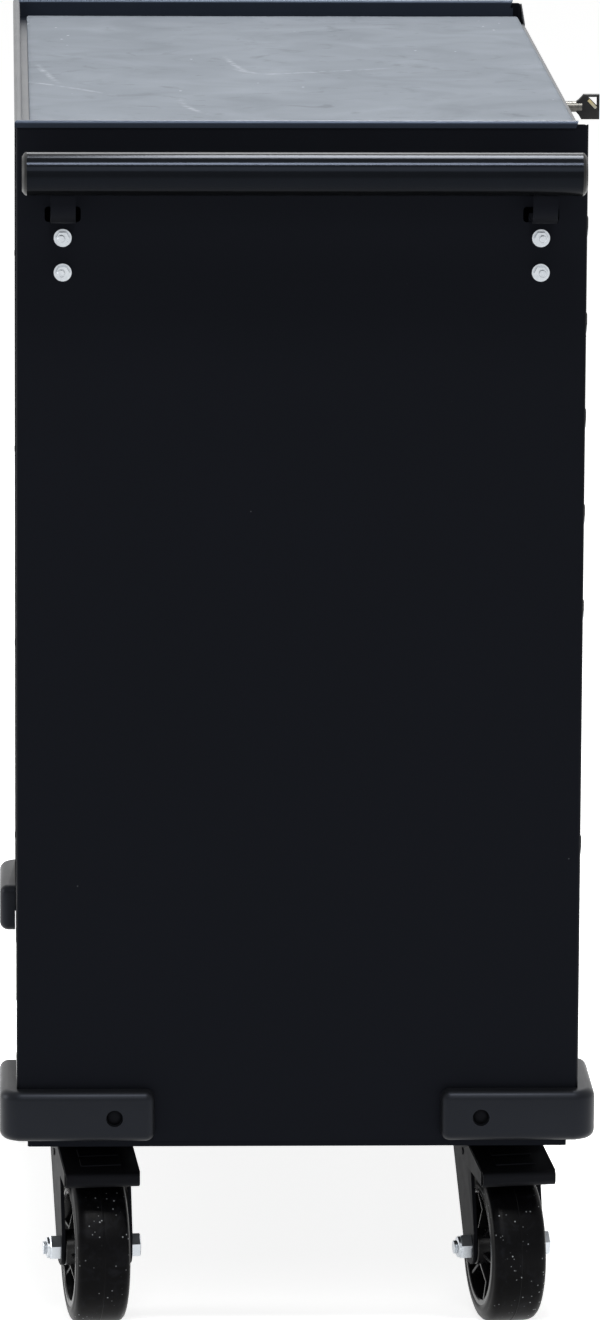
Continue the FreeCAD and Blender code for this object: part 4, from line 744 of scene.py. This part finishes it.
# Casters. Each has a pressed steel plate, bolted under the pan with four zinc-plated hex
# bolts, and a pressed fork; the two under the handle turn on a ball race, and have a sprung
# pedal that presses a shoe on the tyre. All the pressings have the screws' black
# electro-coat, and light catches their eased edges.
caster_nodes = ("swivel_plates", "rigid_forks", "swivel_fork_front", "swivel_fork_rear",
                "brake_pedal_front", "brake_pedal_rear")
dress(ecoat, *caster_nodes)
ease_edges(0.4 * mm, *caster_nodes)


def middle(name):
    """The middle of a CAD node's box."""
    low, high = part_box(name)
    return (low + high) / 2


def sized(profile):
    """A profile in metres, from one in millimetres."""
    return [(along * mm, radius * mm) for along, radius in profile]


plate_thick, bolt_out_x, bolt_out_y = 3.5 * mm, 41 * mm, 34 * mm
plate_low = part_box("swivel_plates")[1].z - plate_thick
wheel_rows = [middle("rigid_wheel_front").y, middle("rigid_wheel_rear").y]
swivel_x, rigid_x = middle("swivel_plates").x, middle("rigid_forks").x
bolt_flange = sized([(0, 0), (0, 8.6), (1.5, 8.6), (1.5, 0)])
bolt_hex = sized([(1.5, 0), (1.5, 7.5), (5.6, 7.5), (6.4, 6.6), (6.4, 0)])
bolts = bmesh.new()
for x in (swivel_x, rigid_x):
    for y in wheel_rows:
        for bolt_x in (x - bolt_out_x, x + bolt_out_x):
            for bolt_y in (y - bolt_out_y, y + bolt_out_y):
                centre = Vector((bolt_x, bolt_y, plate_low))
                turn(bolts, bolt_flange, centre, (0, 0, -1), steps=28)
                turn(bolts, bolt_hex, centre, (0, 0, -1), steps=6)
make_piece("caster_bolts", bolts, zinc, "cabinet")

race = bmesh.new()
race_gap = 0.3 * mm
race_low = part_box("swivel_fork_front")[1].z + race_gap
race_cup = sized([(0, 27), (0, 29.2), (0.5, 30.3), (1.6, 30.8), (5, 30.8), (6.6, 30),
                  (7.2, 28.6), (7.2, 27)])
for y in wheel_rows:
    turn(race, race_cup, (swivel_x, y, race_low), (0, 0, 1), steps=56)
make_piece("race_cups", race, ecoat, "cabinet")

# Wheels. A hard black rubber tyre moulded round a ribbed polypropylene core. The rubber keeps
# some mould shine over its pebbled skin, which is drawn coarser than real, and has picked up
# grit and dull smears in patches.
rubber, tree, shader, place = new_finish("black_tyre_rubber", Specular_IOR_Level=0.05)
clouds = add(tree, "TexNoise", {"Vector": place}, Scale=1 / (16 * mm), Detail=5)
shade = add(tree, "MixRGB", {"Fac": clouds.outputs[0]}, Color1=srgb("#050506"),
            Color2=srgb("#0a0a0c"))
rub = add(tree, "TexNoise", {"Vector": place}, Scale=1 / (11 * mm), Detail=6, Distortion=1)
rub = add(tree, "MapRange", {"Value": rub.outputs[0]}, From_Min=0.52, From_Max=0.72, To_Max=0.5)
shade = add(tree, "MixRGB", {"Fac": rub.outputs[0], "Color1": shade.outputs[0]},
            Color2=srgb("#1d1e22"))
grit_cell, grit_radius = 4.5 * mm, 0.8 * mm
grit = add(tree, "TexVoronoi", {"Vector": place}, Scale=1 / grit_cell)
grit = add(tree, "MapRange", {"Value": grit.outputs["Distance"]}, To_Min=0.85, To_Max=0,
           From_Min=0.4 * grit_radius / grit_cell, From_Max=grit_radius / grit_cell)
patches = add(tree, "TexNoise", {"Vector": place}, Scale=1 / (20 * mm), Detail=2)
patches = add(tree, "MapRange", {"Value": patches.outputs[0]}, From_Min=0.48, From_Max=0.58)
grit = add(tree, "Math", {0: grit.outputs[0], 1: patches.outputs[0]}, operation="MULTIPLY")
shade = add(tree, "MixRGB", {"Fac": grit.outputs[0], "Color1": shade.outputs[0]},
            Color2=srgb("#b4b7bb"))
pebble = add(tree, "TexNoise", {"Vector": place}, Scale=1 / (1.2 * mm), Detail=3)
relief = add(tree, "Bump", {"Height": pebble.outputs[0]}, Strength=0.6, Distance=0.06 * mm)
gloss = add(tree, "MapRange", {"Value": clouds.outputs[0]}, To_Min=0.24, To_Max=0.4)
feed(tree, shader, Base_Color=shade, Roughness=gloss, Normal=relief)

# The core's plastic is smoother and glossier than the tyre, with faint flow marks.
core_plastic, tree, shader, place = new_finish("black_polypropylene", Specular_IOR_Level=0.3)
flow = add(tree, "TexNoise", {"Vector": place}, Scale=1 / (8 * mm), Detail=3)
shade = add(tree, "MixRGB", {"Fac": flow.outputs[0]}, Color1=srgb("#0b0b0c"),
            Color2=srgb("#131315"))
gloss = add(tree, "MapRange", {"Value": flow.outputs[0]}, To_Min=0.18, To_Max=0.32)
grain = add(tree, "TexNoise", {"Vector": place}, Scale=1 / (1.1 * mm), Detail=2)
relief = add(tree, "Bump", {"Height": grain.outputs[0]}, Strength=0.3, Distance=0.03 * mm)
feed(tree, shader, Base_Color=shade, Roughness=gloss, Normal=relief)

# The right halves of the two profiles, as places along the axle and radii in millimetres, and
# the ribs' stations, as a radius, a height along the axle and half a thickness
tyre_half = [(0.3, 63.5), (0.7, 63.2), (13, 63.1), (16.5, 62.7), (19.2, 61.5), (21, 59.6),
             (21.9, 57.2), (22.2, 54.5), (22.7, 53.6), (22.7, 50.6), (22.2, 49.7)]
core_half = [(22.3, 49.8), (22.4, 45.8), (21.2, 44.6), (9, 43), (6.8, 40.5), (6.4, 37),
             (6.4, 20), (7.4, 16.8), (9.5, 15.4), (25.4, 14.8), (26.2, 14), (26.2, 6.1)]
rib_stations = [(13.5, 22, 2), (30, 17.5, 1.6), (44.9, 20.5, 2)]
rib_count, rib_foot, rib_taper = 6, 5, 0.8
# The degrees that each wheel's caster is turned at rest
wheel_toes = {"swivel_wheel_front": 10, "swivel_wheel_rear": 6.6, "rigid_wheel_front": 0,
              "rigid_wheel_rear": 0}


def both_halves(half):
    """A wheel's closed profile, in metres, from its right half in millimetres."""
    profile = sized([(-along, radius) for along, radius in reversed(half)] + half)
    return profile + profile[:1]


def axle_of(name):
    """The direction of a wheel's axle."""
    toe = math.radians(wheel_toes[name])
    return Vector((-math.sin(toe), math.cos(toe), 0))


for name in wheel_toes:
    centre, axle = middle(name), axle_of(name)
    tyre = bmesh.new()
    turn(tyre, both_halves(tyre_half), centre, axle, steps=96)
    tyre = make_piece(f"{name}_tyre", tyre, rubber, name)
    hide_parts(name)
    core = bmesh.new()
    turn(core, both_halves(core_half), centre, axle, steps=72)
    level = Vector((axle.y, -axle.x, 0))
    for side in (-1, 1):
        for i in range(rib_count):
            angle = 2 * math.pi * (i + 0.25 * side) / rib_count
            spoke = math.cos(angle) * level + Vector((0, 0, math.sin(angle)))
            edge = axle.cross(spoke)
            stations = []
            for reach, rise, half_thick in rib_stations:
                foot = centre + spoke * reach * mm
                half_top = rib_taper * half_thick
                corners = ((rib_foot, -half_thick), (rise, -half_top), (rise, half_top),
                           (rib_foot, half_thick))
                stations.append([core.verts.new(foot + axle * side * up * mm + edge * out * mm)
                                 for up, out in corners])
            core.faces.new(stations[0])
            core.faces.new(stations[-1])
            for near, far in zip(stations, stations[1:]):
                for k in range(4):
                    core.faces.new((near[k - 1], near[k], far[k], far[k - 1]))
    core = make_piece(f"{name}_core", core, core_plastic, name)
    bevel_edges(core, "moulded_edges", 0.5 * mm, angle=40)

# Axle bolts. Zinc-plated hex bolts, each with a lock nut whose plain round collar grips the
# thread, and a short threaded end beyond it.
head_low, half_fork, nut_high, thread_end = (s * mm for s in (37.5, 29.5, 38.2, 43.5))
hex_radius, bolt_radius, collar_radius, tip_radius = (s * mm for s in (10.97, 6, 8.6, 7))
eased, collar_side, collar_rise = 0.9 * mm, 2 * mm, 2.8 * mm
bolt_head = [(-head_low, 0), (-head_low, 0.86 * hex_radius), (-head_low + eased, hex_radius),
             (-half_fork, hex_radius), (-half_fork, 0)]
bolt_shank = [(-half_fork, 0), (-half_fork, bolt_radius), (half_fork, bolt_radius),
              (half_fork, 0)]
nut = [(half_fork, 0), (half_fork, hex_radius), (nut_high - eased, hex_radius),
       (nut_high, 0.88 * hex_radius), (nut_high, 0)]
collar = [(nut_high, 0), (nut_high, collar_radius), (nut_high + collar_side, collar_radius),
          (nut_high + collar_rise, tip_radius), (nut_high + collar_rise, 0)]
bolt_end = thread(radius=5.6 * mm, depth=0.45 * mm, pitch=0.95 * mm, turns=2)
end_length = bolt_end[-1][0]
for node, body, wheels in (
        ("swivel_axle_front", "swivel_fork_front", ["swivel_wheel_front"]),
        ("swivel_axle_rear", "swivel_fork_rear", ["swivel_wheel_rear"]),
        ("rigid_axles", "cabinet", ["rigid_wheel_front", "rigid_wheel_rear"])):
    axles = bmesh.new()
    for name in wheels:
        centre, axle = middle(name), axle_of(name)
        for profile, steps in ((bolt_head, 6), (bolt_shank, 32), (nut, 6), (collar, 36)):
            turn(axles, profile, centre, axle, steps)
        turn(axles, bolt_end, centre + axle * (thread_end - end_length), axle, steps=32)
    piece = make_piece(node.replace("axles", "axle") + "_bolt", axles, zinc, body)
    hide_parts(node)
